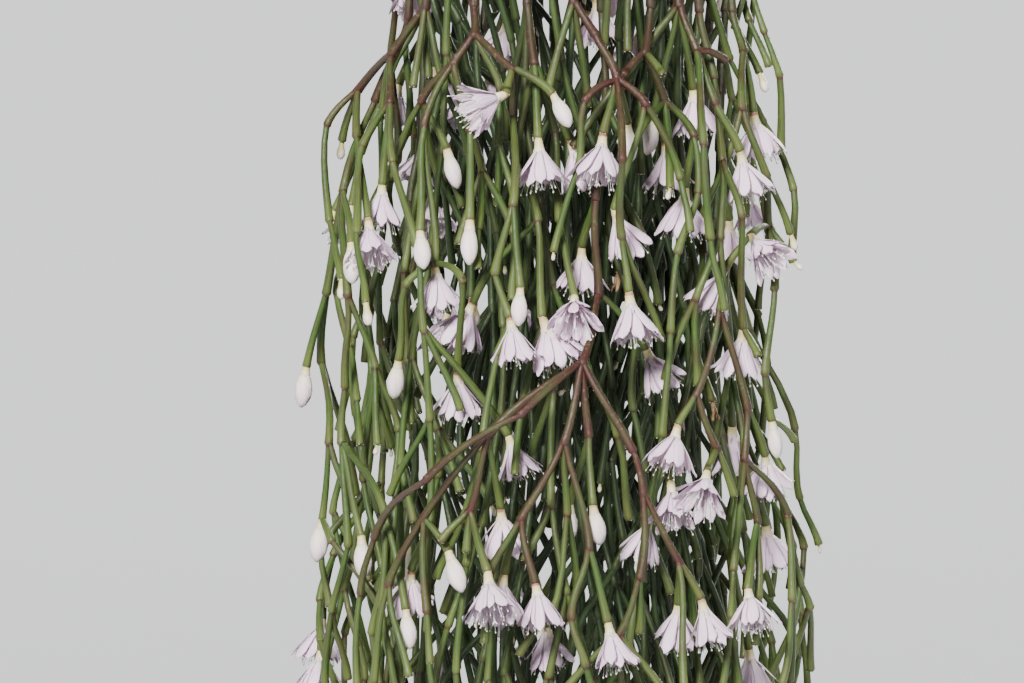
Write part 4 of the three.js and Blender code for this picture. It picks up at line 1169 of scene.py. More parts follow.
def add_stems(batch, indices, sides, body, random):
    """Club-shaped stems, each a bowed tube with a narrow neck, a collar and a cut or forked end."""
    p0, p1, p2, sizes, marks, turns = stem_rows(indices)
    count = len(indices)
    age, forked = marks[:, 0], marks[:, 1] > 0.5
    legs = np.linalg.norm(p1 - p0, axis=1) + np.linalg.norm(p2 - p1, axis=1)
    long = (2 * np.linalg.norm(p2 - p0, axis=1) + legs) / 3
    far, swell = ring_plan(body, long, forked)
    base, tip = sizes[:, :1] * STEM_SLIM, sizes[:, 1:] * STEM_SLIM
    girth = base + (tip - base) * np.clip(far / long[:, None], 0, 1) ** CLUB_POWER
    girth = girth * swell * (1 + GIRTH_SPREAD * random.uniform(-1, 1, (count, 1)))
    centre, along, side, other = stem_course(p0, p1, p2, turns, far, long, random)
    angle = circle(sides) + random.uniform(0, 2 * np.pi, (count, 1))
    spoke = spokes(side[:, :, None], other[:, :, None], angle[:, None])
    skin = centre[:, :, None] + spoke * girth[..., None, None]
    first = centre[:, 0] - along[:, 0] * BASE_END
    reach = np.where(forked, FORK_END - FORK_CAP[-1, 0], CUT_END - CUT_CAP[-1, 0])
    last = centre[:, -1] + along[:, -1] * reach[:, None]
    points = np.concatenate([skin.reshape(count, -1, 3), np.stack([first, last], 1)], 1)
    place, kind = stem_marks(far, long, angle, age, random.uniform(0, 1, count))
    step = np.arange(count)[:, None, None] * points.shape[1]
    faces = [(group + step).reshape(-1, group.shape[1]) for group in tube_faces(far.shape[1], sides)]
    batch.add(points, faces, place, kind)
    add_areoles(batch, p2[~forked], along[~forked, -1], side[~forked, -1], girth[~forked, -3], random)


AREOLES = 4
AREOLE_RADIUS = 0.24
AREOLE_CIRCLE = 0.72
AREOLE_RISE = 0.22
AREOLE_SPREAD = (0.7, 1.25)
DIAMOND = np.array([(1, 0, 0), (0, 1, 0), (-1, 0, 0), (0, -1, 0), (0, 0, 1), (0, 0, -1)], float)
DIAMOND_FACES = np.array([
    (0, 1, 4), (1, 2, 4), (2, 3, 4), (3, 0, 4), (1, 0, 5), (2, 1, 5), (3, 2, 5), (0, 3, 5),
])


def add_areoles(batch, at, along, side, girth, random):
    """The tiny woolly points on the cut end of a tip."""
    count = len(at)
    if not count:
        return
    angle = circle(AREOLES) + random.uniform(0, 6.3, (count, 1))
    spoke = spokes(side[:, None], np.cross(along, side)[:, None], angle)
    centre = at[:, None] + spoke * (girth[:, None, None] * AREOLE_CIRCLE) + along[:, None] * AREOLE_RISE
    grain = DIAMOND * AREOLE_RADIUS
    points = centre[:, :, None] + grain * random.uniform(*AREOLE_SPREAD, (count, AREOLES, 1, 1))
    step = np.arange(count * AREOLES)[:, None, None] * len(DIAMOND)
    batch.add(points, [(DIAMOND_FACES + step).reshape(-1, 3)], (0, 0, 0), (0, 0.5, 0), 1)


# A flower's own sizes, from its seat along its axis, in millimetres at scale 1. Its materials are
# counted in the order of FLOWER_PAINTS below, and a plain form's mark is EVEN.
PETALS, OVARIES, THREADS, ANTHERS, YOUNG_BUDS, WILTED_PETALS, FURLED_PETALS = range(7)
EVEN = (0, 0.5, 0)
OVARY_SIDES = 12
OVARY_RINGS = [(-1.1, 0.85), (-0.1, 1.12), (0.35, 1.24), (0.8, 1.2), (1.8, 1.36), (2.9, 1.52), (3.9, 1.3)]
PETAL_FROM = 3.0
PETAL_WIDTHS = [(0, 0.8), (0.15, 1.2), (0.35, 1.65), (0.6, 1.95), (0.8, 1.85), (0.92, 1.4), (1, 0.65)]
PETAL_THICK = 0.14
PETAL_ROWS = 8
PETAL_COLUMNS = 7
PETAL_JAG = (-0.7, 0.25)
TUBE_RADIUS = 1.25
# Each whorl of petals: how many, turned by what share of a petal, and how far out
WHORLS = [(6, 0.0, 0.16), (6, 0.5, -0.16)]
# How one bell differs from the next, and one petal from the next
MOUTHS = (0.96, 1.16)
OPENINGS = (1.15, 1.9)
PETAL_REACHES = (0.84, 1.1)
PETAL_LENGTHS = (0.86, 1.08)
PETAL_GIRTHS = (0.88, 1.12)
PETAL_FLARES = (-0.3, 1.3)
PETAL_TURN = 0.12
PETAL_TWIST = 0.18
OUTER_PETALS = 3
OUTER_LENGTHS = (3.0, 6.5)
OUTER_GIRTH = 0.5
STAMENS = 26
STAMEN_TURN = 0.15
STAMEN_FROM = 3.4
STAMEN_LENGTHS = (7.8, 11.6)
STAMEN_ROOT_RADIUS = 0.7
STAMEN_REACHES = (0.4, 0.95)
STAMEN_RADII = (0.12, 0.1, 0.08)
ANTHER_SIZES = (0.26, 0.26, 0.42)
STYLE = [(0, 0, 4), (0.1, 0.05, 9), (0.25, 0.1, 13.2)]
STYLE_RADII = (0.3, 0.27, 0.24)
STIGMA_LOBES = 4
STIGMA_REACH = 0.75
STIGMA_RADII = (0.22, 0.16)


def petal(batch, centre_line, half_width, azimuth, twist, ruffle, mark, material, rows, columns, jag=0.0):
    """A thin curved petal round the flower's axis. centre_line gives radius and height along it, and
    jag how far each column's end stands out."""
    t = np.linspace(0, 1, rows)
    u = np.linspace(-1, 1, columns)
    radius, height = centre_line(t)
    wide = half_width(t)
    turn = np.clip(wide[:, None] * u / np.maximum(radius, 0.8)[:, None], -1.5, 1.5)
    angle = azimuth + twist * t[:, None] + turn
    lift = ruffle[0] * u**2 * t[:, None] + ruffle[1] * np.sin(ruffle[2] + 5 * t)[:, None] * u
    reach = radius[:, None] + lift
    body = PETAL_THICK * (1 - u**2) ** 0.5 * np.sqrt(np.clip(1.15 - t, 0.15, 1))[:, None]
    tip_cut = height[:, None] - ruffle[3] * (u**2) * t[:, None] ** 3 + jag * t[:, None] ** 6

    def sheet(shift):
        out = reach + shift
        return np.stack([np.cos(angle) * out, np.sin(angle) * out, tip_cut], -1)

    outer, inner = sheet(body / 2), sheet(-body / 2)[:, -2:0:-1]
    points = np.concatenate([outer, inner], 1)
    sides = points.shape[1]
    ends = np.stack([np.arange(sides)[::-1], (rows - 1) * sides + np.arange(sides)])
    place = np.empty((rows, sides, 3))
    place[..., 0] = t[:, None]
    place[..., 1] = np.concatenate([u, u[-2:0:-1]])
    place[..., 2] = mark
    batch.add(points, [ring_faces(rows, sides), ends], place.reshape(-1, 3), (0, mark, 0), material)


def turned(batch, rings, sides, kind, material):
    """A round form about the axis through (height, radius) rings, closed at both ends."""
    heights, radii = np.array(rings, float).T
    skin = round_skin(radii, heights[:, None], sides)
    points = np.concatenate([skin.reshape(-1, 3), [(0, 0, heights[0]), (0, 0, heights[-1])]])
    batch.add(points, tube_faces(len(rings), sides), points[:, (2, 0, 1)], kind, material)


def thread(batch, points, radii, sides, kind, material):
    """A thin round tube through a few points."""
    points = np.asarray(points, float)
    along = units(np.gradient(points, axis=0))
    side = units(np.cross(along, (0.31, 0.17, 0.93)))
    spoke = spokes(side[:, None], np.cross(along, side)[:, None], circle(sides))
    skin = points[:, None] + spoke * np.asarray(radii)[:, None, None]
    batch.add_tube(skin, points[0], points[-1], kind, material)


def petal_widths(size):
    return lambda t: size * np.interp(t, *np.array(PETAL_WIDTHS).T)


def add_whorls(batch, mouth, random):
    """The two rows of petals that make the bell, each petal a little different."""
    power = random.uniform(*OPENINGS)
    reach = BLOOM_LENGTH - PETAL_FROM
    for number, offset, shift in WHORLS:
        for i in range(number):
            wide, far = mouth * random.uniform(*PETAL_REACHES), reach * random.uniform(*PETAL_LENGTHS)
            flare = random.uniform(*PETAL_FLARES)

            def line(t, wide=wide, far=far, flare=flare, shift=shift):
                radius = TUBE_RADIUS + (wide - TUBE_RADIUS) * (1 - (1 - t) ** power)
                radius = radius + flare * np.clip(t - 0.7, 0, 1) ** 2 * 8
                return radius + shift * (1 + 2 * t), PETAL_FROM + far * t * (1 - 0.03 * wide * t)

            azimuth = 2 * np.pi * (i + offset) / number + random.uniform(-PETAL_TURN, PETAL_TURN)
            ruffle = (random.uniform(-0.5, 0.25), random.uniform(0, 0.35), random.uniform(0, 6), 0.6)
            widths = petal_widths(random.uniform(*PETAL_GIRTHS))
            petal(batch, line, widths, azimuth, random.uniform(-PETAL_TWIST, PETAL_TWIST), ruffle,
                  random.uniform(0, 1), PETALS, PETAL_ROWS, PETAL_COLUMNS,
                  random.uniform(*PETAL_JAG, PETAL_COLUMNS))


def add_outer_petals(batch, random):
    """The short narrow petals at the foot of the bell."""
    for i in range(OUTER_PETALS):
        far = random.uniform(*OUTER_LENGTHS)

        def line(t, far=far):
            return 1.5 + 0.33 * far * t ** 1.2, 2.3 + far * t

        azimuth = 2 * np.pi * (i + random.uniform(0, 0.5)) / OUTER_PETALS
        mark = random.uniform(0, 1)
        petal(batch, line, petal_widths(OUTER_GIRTH), azimuth, 0, (0, 0, 0, 0), mark, PETALS, 6, 5)


def bell_form(random):
    """An open flower: ovary, small outer petals, two whorls of petals, stamens and a style."""
    batch = Batch()
    turned(batch, OVARY_RINGS, OVARY_SIDES, EVEN, OVARIES)
    mouth = BLOOM_RADIUS * random.uniform(*MOUTHS)
    add_whorls(batch, mouth, random)
    add_outer_petals(batch, random)
    for i in range(STAMENS):
        azimuth = 2 * np.pi * i / STAMENS + random.uniform(-STAMEN_TURN, STAMEN_TURN)
        add_stamen(batch, azimuth, mouth, random)
    thread(batch, STYLE, STYLE_RADII, 6, EVEN, THREADS)
    x, y, z = STYLE[-1]
    for i in range(STIGMA_LOBES):
        turn = 2 * np.pi * i / STIGMA_LOBES
        tip = (x + STIGMA_REACH * math.cos(turn), y + STIGMA_REACH * math.sin(turn), z + 0.8)
        thread(batch, [(x, y, z - 0.2), tip], STIGMA_RADII, 4, (0, 0.9, 0), THREADS)
    return batch


def add_stamen(batch, azimuth, mouth, random):
    far = random.uniform(*STAMEN_LENGTHS)
    wide = mouth * random.uniform(*STAMEN_REACHES)
    path = []
    for t in (0, 0.5, 1):
        radius = STAMEN_ROOT_RADIUS + (wide - STAMEN_ROOT_RADIUS) * t**0.8
        path.append((math.cos(azimuth) * radius, math.sin(azimuth) * radius, STAMEN_FROM + far * t))
    thread(batch, path, STAMEN_RADII, 3, EVEN, THREADS)
    grain = DIAMOND * ANTHER_SIZES + path[-1]
    batch.add(grain, [DIAMOND_FACES], (0, 0, 0), (0, 0.1, 0), ANTHERS)


# A closed bud's outline, as (share of its length, radius), and the furled petal edges round it
BUD_SHAPE = [
    (0, 1.3), (0.15, 1.85), (0.32, 2.34), (0.5, 2.52), (0.68, 2.32), (0.84, 1.72), (0.95, 1.0), (1, 0.4),
]
BUD_FROM = 2.4
BUD_RINGS = 13
BUD_SIDES = 33
BUD_EDGES = 3
BUD_EDGE_RISE = 0.24
YOUNG_BUD_RINGS = [
    (-1.1, 0.9), (0.2, 1.35), (2.2, 1.6), (4.2, 1.75), (7.0, 2.5), (9.6, 2.55), (11.6, 1.6), (12.3, 0.6),
]
WILTED_COUNT = 5
WILTED_SIDES = 10
WILTED_LENGTHS = (7, 10)
WILTED_REACHES = (1.2, 2.6)
WILTED_TWIST = 0.8


def bud_form(random):
    """A closed bud: ovary and petals furled round each other like an umbrella."""
    batch = Batch()
    turned(batch, OVARY_RINGS, OVARY_SIDES, EVEN, OVARIES)
    t = np.linspace(0, 1, BUD_RINGS)[:, None]
    angle = circle(BUD_SIDES)[None]
    furl = (angle * BUD_EDGES / (2 * np.pi) + random.uniform(0.5, 0.9) * t + random.uniform()) % 1
    radius = np.interp(t, *np.array(BUD_SHAPE).T) * random.uniform(0.92, 1.06)
    radius = radius + BUD_EDGE_RISE * (furl - 0.4) * np.sin(np.pi * t) ** 0.5
    height = BUD_FROM + (BUD_LENGTH - BUD_FROM) * t + 0 * angle
    skin = np.stack([np.cos(angle) * radius, np.sin(angle) * radius, height], -1)
    place = np.stack([t + 0 * angle, furl * 2 - 1, 0 * furl + 0.5], -1)
    points = np.concatenate([skin.reshape(-1, 3), [(0, 0, BUD_FROM), (0, 0, BUD_LENGTH + 0.1)]])
    places = np.concatenate([place.reshape(-1, 3), [(0, 0, 0.5), (1, 0, 0.5)]])
    batch.add(points, tube_faces(BUD_RINGS, BUD_SIDES), places, EVEN, FURLED_PETALS)
    return batch


def small_bud_form():
    """A young bud, still one smooth oval on its ovary."""
    batch = Batch()
    turned(batch, YOUNG_BUD_RINGS, OVARY_SIDES, EVEN, YOUNG_BUDS)
    return batch


def wilted_form(random):
    """A faded flower: the same petals, shrunk and hanging limp."""
    batch = Batch()
    turned(batch, OVARY_RINGS, WILTED_SIDES, (0, 0.2, 0), WILTED_PETALS)
    for i in range(WILTED_COUNT):
        far = random.uniform(*WILTED_LENGTHS)
        wide = random.uniform(*WILTED_REACHES)

        def line(t, far=far, wide=wide):
            return 1.1 + (wide - 1.1) * np.sin(2.2 * t) + 0.3 * np.sin(9 * t), 3 + far * t

        azimuth = 2 * np.pi * i / WILTED_COUNT
        twist = random.uniform(-WILTED_TWIST, WILTED_TWIST)
        ruffle = (0.4, 0.35, random.uniform(0, 6), 1.2)
        mark = random.uniform(0, 1)
        petal(batch, line, lambda t: 1.3 - 0.7 * t, azimuth, twist, ruffle, mark, WILTED_PETALS, 8, 5)
    return batch


def turn_to(direction, roll):
    """The turn that points +Z along a direction, with a roll about it."""
    z = np.array(direction, float)
    x = units(np.cross(z, (0.2, 0.93, 0.31)))
    y = np.cross(z, x)
    x2 = x * math.cos(roll) + y * math.sin(roll)
    return np.stack([x2, np.cross(z, x2), z], 1)


def put(batch, form, at, direction, scale, roll):
    """Adds a form at a point, turned along a direction."""
    turn = turn_to(direction, roll)
    for points in form.points:
        batch.points.append(points * scale @ turn.T + np.array(at))
    batch.places += form.places
    batch.kinds += form.kinds
    batch.faces += [(group + batch.count, material) for group, material in form.faces]
    batch.count += form.count


def srgb(code):
    """A linear colour from its six-digit code."""
    parts = [int(code[i : i + 2], 16) / 255 for i in (0, 2, 4)]
    return (*(c / 12.92 if c <= 0.04045 else ((c + 0.055) / 1.055) ** 2.4 for c in parts), 1)


class Paint:
    """A material's nodes. Most methods add one node and give what comes out of it."""

    def __init__(self, name, **settings):
        self.material = bpy.data.materials.new(name)
        self.material.use_nodes = True
        self.nodes, self.links = self.material.node_tree.nodes, self.material.node_tree.links
        self.shader = self.nodes["Principled BSDF"]
        for socket, value in settings.items():
            self.set(socket.replace("_", " "), value)

    def feed(self, socket, value):
        """Gives a socket another node's output, a number, or a colour by its code."""
        if isinstance(value, bpy.types.NodeSocket):
            self.links.new(value, socket)
        else:
            socket.default_value = srgb(value) if isinstance(value, str) else value

    def set(self, socket, value):
        self.feed(self.shader.inputs[socket], value)

    def node(self, kind, inputs, output=0, **settings):
        node = self.nodes.new(kind)
        for key, value in settings.items():
            setattr(node, key, value)
        for key, value in inputs.items():
            self.feed(node.inputs[key], value)
        return node.outputs[output]

    def where(self):
        return self.node("ShaderNodeTexCoord", {}, "Object")

    def split(self, vector):
        node = self.nodes.new("ShaderNodeSeparateXYZ")
        self.links.new(vector, node.inputs[0])
        return node.outputs[0], node.outputs[1], node.outputs[2]

    def mark(self, name):
        """The three numbers of a mark on the mesh."""
        return self.split(self.node("ShaderNodeAttribute", {}, "Vector", attribute_name=name))

    def join(self, x, y, z):
        return self.node("ShaderNodeCombineXYZ", {0: x, 1: y, 2: z})

    def noise(self, vector, scale, detail=2.0, rough=0.5):
        settings = {"Vector": vector, "Scale": scale, "Detail": detail, "Roughness": rough}
        return self.node("ShaderNodeTexNoise", settings, "Fac")

    def math(self, operation, a, b=0.0):
        return self.node("ShaderNodeMath", {0: a, 1: b}, operation=operation)

    def times(self, a, b):
        return self.math("MULTIPLY", a, b)

    def plus(self, a, b):
        return self.math("ADD", a, b)

    def step(self, value, low, high, to_low=0.0, to_high=1.0):
        """A smooth change from to_low to to_high as value goes from low to high."""
        inputs = {"Value": value, "From Min": low, "From Max": high, "To Min": to_low, "To Max": to_high}
        return self.node("ShaderNodeMapRange", inputs, interpolation_type="SMOOTHSTEP")

    def mix(self, share, a, b):
        inputs = {0: share, 6: a, 7: b}
        return self.node("ShaderNodeMix", inputs, 2, data_type="RGBA", clamp_factor=True)

    def ramp(self, value, stops):
        node = self.nodes.new("ShaderNodeValToRGB")
        self.links.new(value, node.inputs[0])
        while len(node.color_ramp.elements) < len(stops):
            node.color_ramp.elements.new(0.5)
        for element, (position, code) in zip(node.color_ramp.elements, stops):
            element.position, element.color = position, srgb(code)
        return node.outputs[0]

    def bump(self, height, strength, distance):
        inputs = {"Height": height, "Strength": strength, "Distance": distance}
        self.set("Normal", self.node("ShaderNodeBump", inputs))


# A stem's colour by how old its skin looks, and the painted shade that darkens it towards the plant's axis,
# in metres
STEM_AGES = [
    (0.0, "334B19"), (0.2, "35451A"), (0.38, "373A19"), (0.54, "383118"), (0.72, "382916"), (1.0, "371A14"),
]
PAINTED_SHADE_FROM = 0.034
PAINTED_SHADE_TO = 0.063
PAINTED_SHADE_DEPTH = 0.85
# The stretch of the noise on the skin, for lines that run along the stem
LINE_TURN = 1.5
LINE_LENGTH = 0.045


def off_axis(paint, where):
    """How far a point is from the plant's upright axis."""
    x, y, _ = paint.split(where)
    return paint.math("SQRT", paint.plus(paint.times(x, x), paint.times(y, y)))


def stem_paint():
    """Green clubs that turn olive and then red-brown with age, ringed at the neck, lined and speckled.
    Those near the plant's middle are darkened to a deep green: painted shade for the plant's dim inside."""
    p = Paint("stem_skin", Specular_IOR_Level=0.32)
    from_base, cos, sin = p.mark("place")
    age, tone, from_tip = p.mark("kind")
    where = p.where()
    blotch = p.noise(where, 95, 3)
    grain = p.noise(where, 900, 2)
    stretched = p.join(p.times(cos, LINE_TURN), p.times(sin, LINE_TURN), p.times(from_base, LINE_LENGTH))
    lines = p.noise(stretched, 3.1, 2)
    worn = p.plus(age, p.step(blotch, 0.32, 0.68, -0.3, 0.2))
    worn = p.plus(worn, p.step(tone, 0, 1, -0.06, 0.08))
    by_joint = p.math("MAXIMUM", p.step(from_base, 7, 1, 0, 1), p.step(from_tip, 5, 0, 0, 0.7))
    worn = p.plus(worn, p.times(by_joint, p.step(age, 0.1, 0.6, 0.04, 0.34)))
    colour = p.ramp(worn, STEM_AGES)
    young = p.step(age, 0.5, 0.16)
    colour = p.mix(p.times(p.step(tone, 0.1, 0.95, 0, 0.5), young), colour, "4D5A2A")
    fresh = p.times(p.step(from_tip, 10, 0.5, 0, 0.6), young)
    colour = p.mix(fresh, colour, "5C6930")
    dark, pale = p.mix(young, "1C100C", "253014"), p.mix(young, "54402A", "5E663B")
    colour = p.mix(p.step(lines, 0.52, 0.66, 0, 0.5), colour, dark)
    colour = p.mix(p.step(lines, 0.46, 0.34, 0, 0.3), colour, pale)
    speck = p.times(p.step(grain, 0.6, 0.72), p.step(age, 0.1, 0.8, 0.12, 0.42))
    colour = p.mix(speck, colour, "74694C")
    neck = p.times(p.step(from_base, 1.5, 0.6), p.step(blotch, 0.3, 0.6, 0.55, 1.0))
    colour = p.mix(neck, colour, p.mix(tone, "26170F", "451C1A"))
    knot = p.times(p.step(from_tip, 0.9, -0.2), p.step(age, 0.0, 0.5, 0.15, 0.75))
    colour = p.mix(knot, colour, "3C2019")
    # Painted shade: stems near the plant's upright axis are darkened towards deep green.
    colour = p.mix(p.step(off_axis(p, where), PAINTED_SHADE_FROM, PAINTED_SHADE_TO, PAINTED_SHADE_DEPTH, 0), colour, "14260B")
    p.set("Base Color", colour)
    p.set("Roughness", p.step(grain, 0.3, 0.7, 0.42, 0.62))
    p.bump(p.plus(p.times(grain, 0.5), p.times(lines, 0.8)), 0.5, 0.00022)
    return p.material


def petal_paint(name, light, vein, cloud, foot):
    """Pale petals with fine lengthwise veins, a faint cloudiness and a creamy foot."""
    p = Paint(name, Specular_IOR_Level=0.3, Roughness=0.5, Subsurface_Weight=0.3,
              Subsurface_Radius=(0.9, 0.75, 0.8), Subsurface_Scale=0.0012)
    along, across, mark = p.mark("place")
    veins = p.noise(p.join(p.times(across, 3.4), p.times(along, 0.5), p.times(mark, 9.0)), 2.4, 3)
    colour = p.mix(p.step(veins, 0.48, 0.7, 0, 0.8), light, vein)
    colour = p.mix(p.step(along, foot, 0.0, 0, 0.7), colour, "E9E2B9")
    p.set("Base Color", p.mix(p.step(p.noise(p.where(), 160, 2), 0.4, 0.75, 0, 0.4), colour, cloud))
    p.bump(veins, 0.6, 0.0003)
    return p.material


def ovary_paint():
    """The cream flower foot, with a red ring where it leaves the stem."""
    p = Paint("flower_foot", Specular_IOR_Level=0.35, Roughness=0.45, Subsurface_Weight=0.15,
              Subsurface_Radius=(1.0, 0.8, 0.4), Subsurface_Scale=0.001)
    height, _, _ = p.mark("place")
    colour = p.mix(p.step(height, 0.6, 3.4), "D5C98C", "EFE3CE")
    grain = p.noise(p.where(), 700, 2)
    patchy = p.step(p.noise(p.where(), 60, 1), 0.35, 0.6)
    colour = p.mix(p.times(p.step(height, 0.7, 0.1, 0, 0.9), patchy), colour, "7E4540")
    p.set("Base Color", p.mix(p.step(grain, 0.55, 0.75, 0, 0.25), colour, "C9B37F"))
    p.bump(grain, 0.25, 0.0001)
    return p.material


def plain_paint(name, low, high, scale, roughness, bump, distance):
    """Two shades of one colour, mottled, with fine relief."""
    p = Paint(name, Roughness=roughness)
    p.set("Base Color", p.mix(p.step(p.noise(p.where(), scale, 3), 0.32, 0.68), low, high))
    p.bump(p.noise(p.where(), scale * 2.5, 2), bump, distance)
    return p.material


def young_bud_paint():
    """Cream, paler to the tip, with a red foot."""
    p = Paint("young_bud", Roughness=0.42, Specular_IOR_Level=0.4)
    height, _, _ = p.mark("place")
    colour = p.mix(p.step(height, 4.2, 9.5), "C3BE7C", "E9DCD0")
    colour = p.mix(p.step(height, 0.9, 0.0, 0, 0.8), colour, "8A4A40")
    grain = p.noise(p.where(), 420, 3)
    p.set("Base Color", p.mix(p.step(grain, 0.5, 0.75, 0, 0.35), colour, "D9B8AC"))
    p.bump(grain, 0.3, 0.00015)
    return p.material


STEM = stem_paint()
AREOLE = plain_paint("areole", "C9C2A0", "E4DDC4", 2600, 0.8, 0.4, 0.0001)
FLOWER_PAINTS = [
    petal_paint("petal_skin", "FFE2FB", "DDADDC", "F3C8EC", 0.22),
    ovary_paint(),
    plain_paint("filament", "E9E6E4", "F8F6F4", 600, 0.5, 0.1, 0.00005),
    plain_paint("anther", "F0EBD8", "FFFDF6", 900, 0.7, 0.4, 0.0001),
    young_bud_paint(),
    plain_paint("wilted_petal", "6B4C33", "A98C66", 330, 0.75, 0.6, 0.0003),
    petal_paint("bud_skin", "F7EDEA", "DFC6D4", "F0DAD8", 0.5),
]

LOOK_SEED = 90210
SOLID_SIDES = 10
MORE_SIDES = 7
BELL_FORMS = 7
BUD_FORMS = 4
LARGE_BUD = 0.7
YOUNG_SHRINK = 0.42
TIP_BUD_SHARE = 0.13
TIP_BUD_SCALES = (0.2, 0.32)
TIP_BUD_LEAN = 0.25
WILTED_EVERY = 9
WILTED_SHRINK = 0.7
LEAST_FACING = 0.75
DRAW = np.random.default_rng(LOOK_SEED)


def facing(flower):
    """How far a flower points the way its stem ends, as a cosine."""
    return dot(joints[flower["joint"]]["dir"], flower["dir"])


def own_bloom_list():
    """The blooms that are nodes of their own in the solids, in order."""
    blooms = [i for i in range(SOLID_FLOWERS) if flowers[i]["kind"] == "bloom"]
    return [i for i in blooms if facing(flowers[i]) > LEAST_FACING][:BLOOM_NODES]


def make_forms():
    return dict(
        bell=[bell_form(DRAW) for _ in range(BELL_FORMS)],
        bud=[bud_form(DRAW) for _ in range(BUD_FORMS)],
        small=small_bud_form(),
        wilted=wilted_form(DRAW),
    )


def put_flower(batch, forms, index, seat_shift=0.0):
    """One flower or bud of the growth, as its finer form."""
    flower = flowers[index]
    scale, direction = flower["scale"], flower["dir"]
    roll = DRAW.uniform(0, 2 * np.pi)
    if flower["kind"] == "bloom":
        form = forms["bell"][int(DRAW.integers(BELL_FORMS))]
    elif index >= SOLID_FLOWERS:
        wilts = index % WILTED_EVERY == 0
        form = forms["wilted" if wilts else "small"]
        scale *= WILTED_SHRINK if wilts else YOUNG_SHRINK
    elif scale >= LARGE_BUD:
        form = forms["bud"][int(DRAW.integers(BUD_FORMS))]
    else:
        form = forms["small"]
    seat = add(joints[flower["joint"]]["p"], times(direction, seat_shift))
    put(batch, form, seat, direction, scale, roll)


def add_tip_buds(batch, forms, indices, taken):
    """The tiny pale buds on some of the bare tips."""
    for index in indices:
        to = stems[index]["to"]
        if joints[to]["children"] or to in taken or DRAW.uniform() > TIP_BUD_SHARE:
            continue
        direction = unit(tuple(np.array(joints[to]["dir"]) + DRAW.normal(0, TIP_BUD_LEAN, 3)))
        put(batch, forms["small"], joints[to]["p"], direction, DRAW.uniform(*TIP_BUD_SCALES), 0)


def make_spray(spray, forms, own, taken):
    """The stems of one clump, and the flowers and buds that are part of it."""
    indices = [i for i, stem in enumerate(stems) if joints[stem["to"]]["spray"] == spray]
    batch = Batch()
    add_stems(batch, [i for i in indices if i < SOLID_STEMS], SOLID_SIDES, BODY, DRAW)
    add_stems(batch, [i for i in indices if i >= SOLID_STEMS], MORE_SIDES, MORE_BODY, DRAW)
    piece = batch.build(f"stems_{spray + 1:02d}", [STEM, AREOLE])
    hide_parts(f"spray_{spray + 1:02d}")
    blooms = Batch()
    for index, flower in enumerate(flowers):
        if flower["spray"] == spray and index not in own:
            put_flower(blooms, forms, index)
    add_tip_buds(blooms, forms, indices, taken)
    if blooms.count:
        blooms.build(f"flowers_on_spray_{spray + 1:02d}", FLOWER_PAINTS)


def make_plant():
    forms = make_forms()
    own = own_bloom_list()
    taken = {flower["joint"] for flower in flowers}
    for spray in range(SPRAYS):
        make_spray(spray, forms, own, taken)
    for number, index in enumerate(own):
        flower = flowers[index]
        batch = Batch()
        seat_shift = FLOWER_SUNK * flower["scale"] * 0.4 + TOUCH_GAP / facing(flower)
        put_flower(batch, forms, index, seat_shift)
        piece = batch.build(f"flower_{number + 1:02d}", FLOWER_PAINTS[:YOUNG_BUDS])
        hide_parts(f"bloom_{number + 1:02d}")


make_plant()


# Pot, soil and hanger
def rounded(points, radius, steps=5):
    """The course with each inner corner rounded."""
    points = [np.array(p, float) for p in points]
    course = [points[0]]
    for before, corner, after in zip(points, points[1:], points[2:]):
        back, on = before - corner, after - corner
        cut = min(radius, np.linalg.norm(back) * 0.48, np.linalg.norm(on) * 0.48)
        a, b = corner + units(back) * cut, corner + units(on) * cut
        for t in np.linspace(0, 1, steps):
            course.append((1 - t) ** 2 * a + 2 * t * (1 - t) * corner + t**2 * b)
    course.append(points[-1])
    return np.array(course)


# A wire's rounded end, as (distance past the end, radius), both as shares of the wire's radius
WIRE_END = np.array([(0.55, 0.83), (0.9, 0.4)])


def sweep(batch, course, radius, sides):
    """A round wire along a course, turned no more than the course turns, with rounded ends."""
    course = np.array(course, float)
    along = units(np.gradient(course, axis=0))
    reach = radius * WIRE_END[:, :1]
    ends = radius * WIRE_END[:, 1]
    radii = np.concatenate([ends[::-1], np.full(len(course), radius), ends])
    course = np.concatenate([course[0] - along[0] * reach[::-1], course, course[-1] + along[-1] * reach])
    along = np.concatenate([along[:1], along[:1], along, along[-1:], along[-1:]])
    side = units(np.cross(along[0], (0.37, 0.71, 0.2)))
    ways = []
    for direction in along:
        side = units(side - direction * np.dot(side, direction))
        ways.append(spokes(side, np.cross(direction, side), circle(sides)))
    batch.add_tube(course[:, None] + np.array(ways) * radii[:, None, None], course[0], course[-1])


def lathe(batch, outline, corner, steps, sides):
    """A round solid about the Z axis from an outline of (radius, height) with rounded corners, which
    starts and ends on the axis."""
    course = rounded([(r, 0, z) for r, z in outline], corner, steps)
    radii, heights = course[1:-1, 0], course[1:-1, 2:]
    batch.add_tube(round_skin(radii, heights, sides), course[0], course[-1])


def drilled(piece, holes):
    """The piece with round holes through it: each is (x, y, low, high, radius) in millimetres."""
    for x, y, low, high, radius in holes:
        bpy.ops.mesh.primitive_cylinder_add(vertices=24, radius=radius * MM, depth=(high - low) * MM,
                                            location=(x * MM, y * MM, (low + high) / 2 * MM))
        cutter = bpy.context.object
        cut = piece.modifiers.new("hole", "BOOLEAN")
        cut.object, cut.operation, cut.solver = cutter, "DIFFERENCE", "EXACT"
        bpy.context.view_layer.update()
        shape = bpy.data.meshes.new_from_object(piece.evaluated_get(bpy.context.evaluated_depsgraph_get()))
        piece.modifiers.clear()
        piece.data = shape
        bpy.data.objects.remove(cutter)
    piece.data.shade_smooth()
    piece.data.set_sharp_from_angle(angle=40 * RAD)


def holes_round(azimuths, circle_radius, low, high, radius):
    return [(*on_circle(azimuth, circle_radius, 0)[:2], low, high, radius) for azimuth in azimuths]


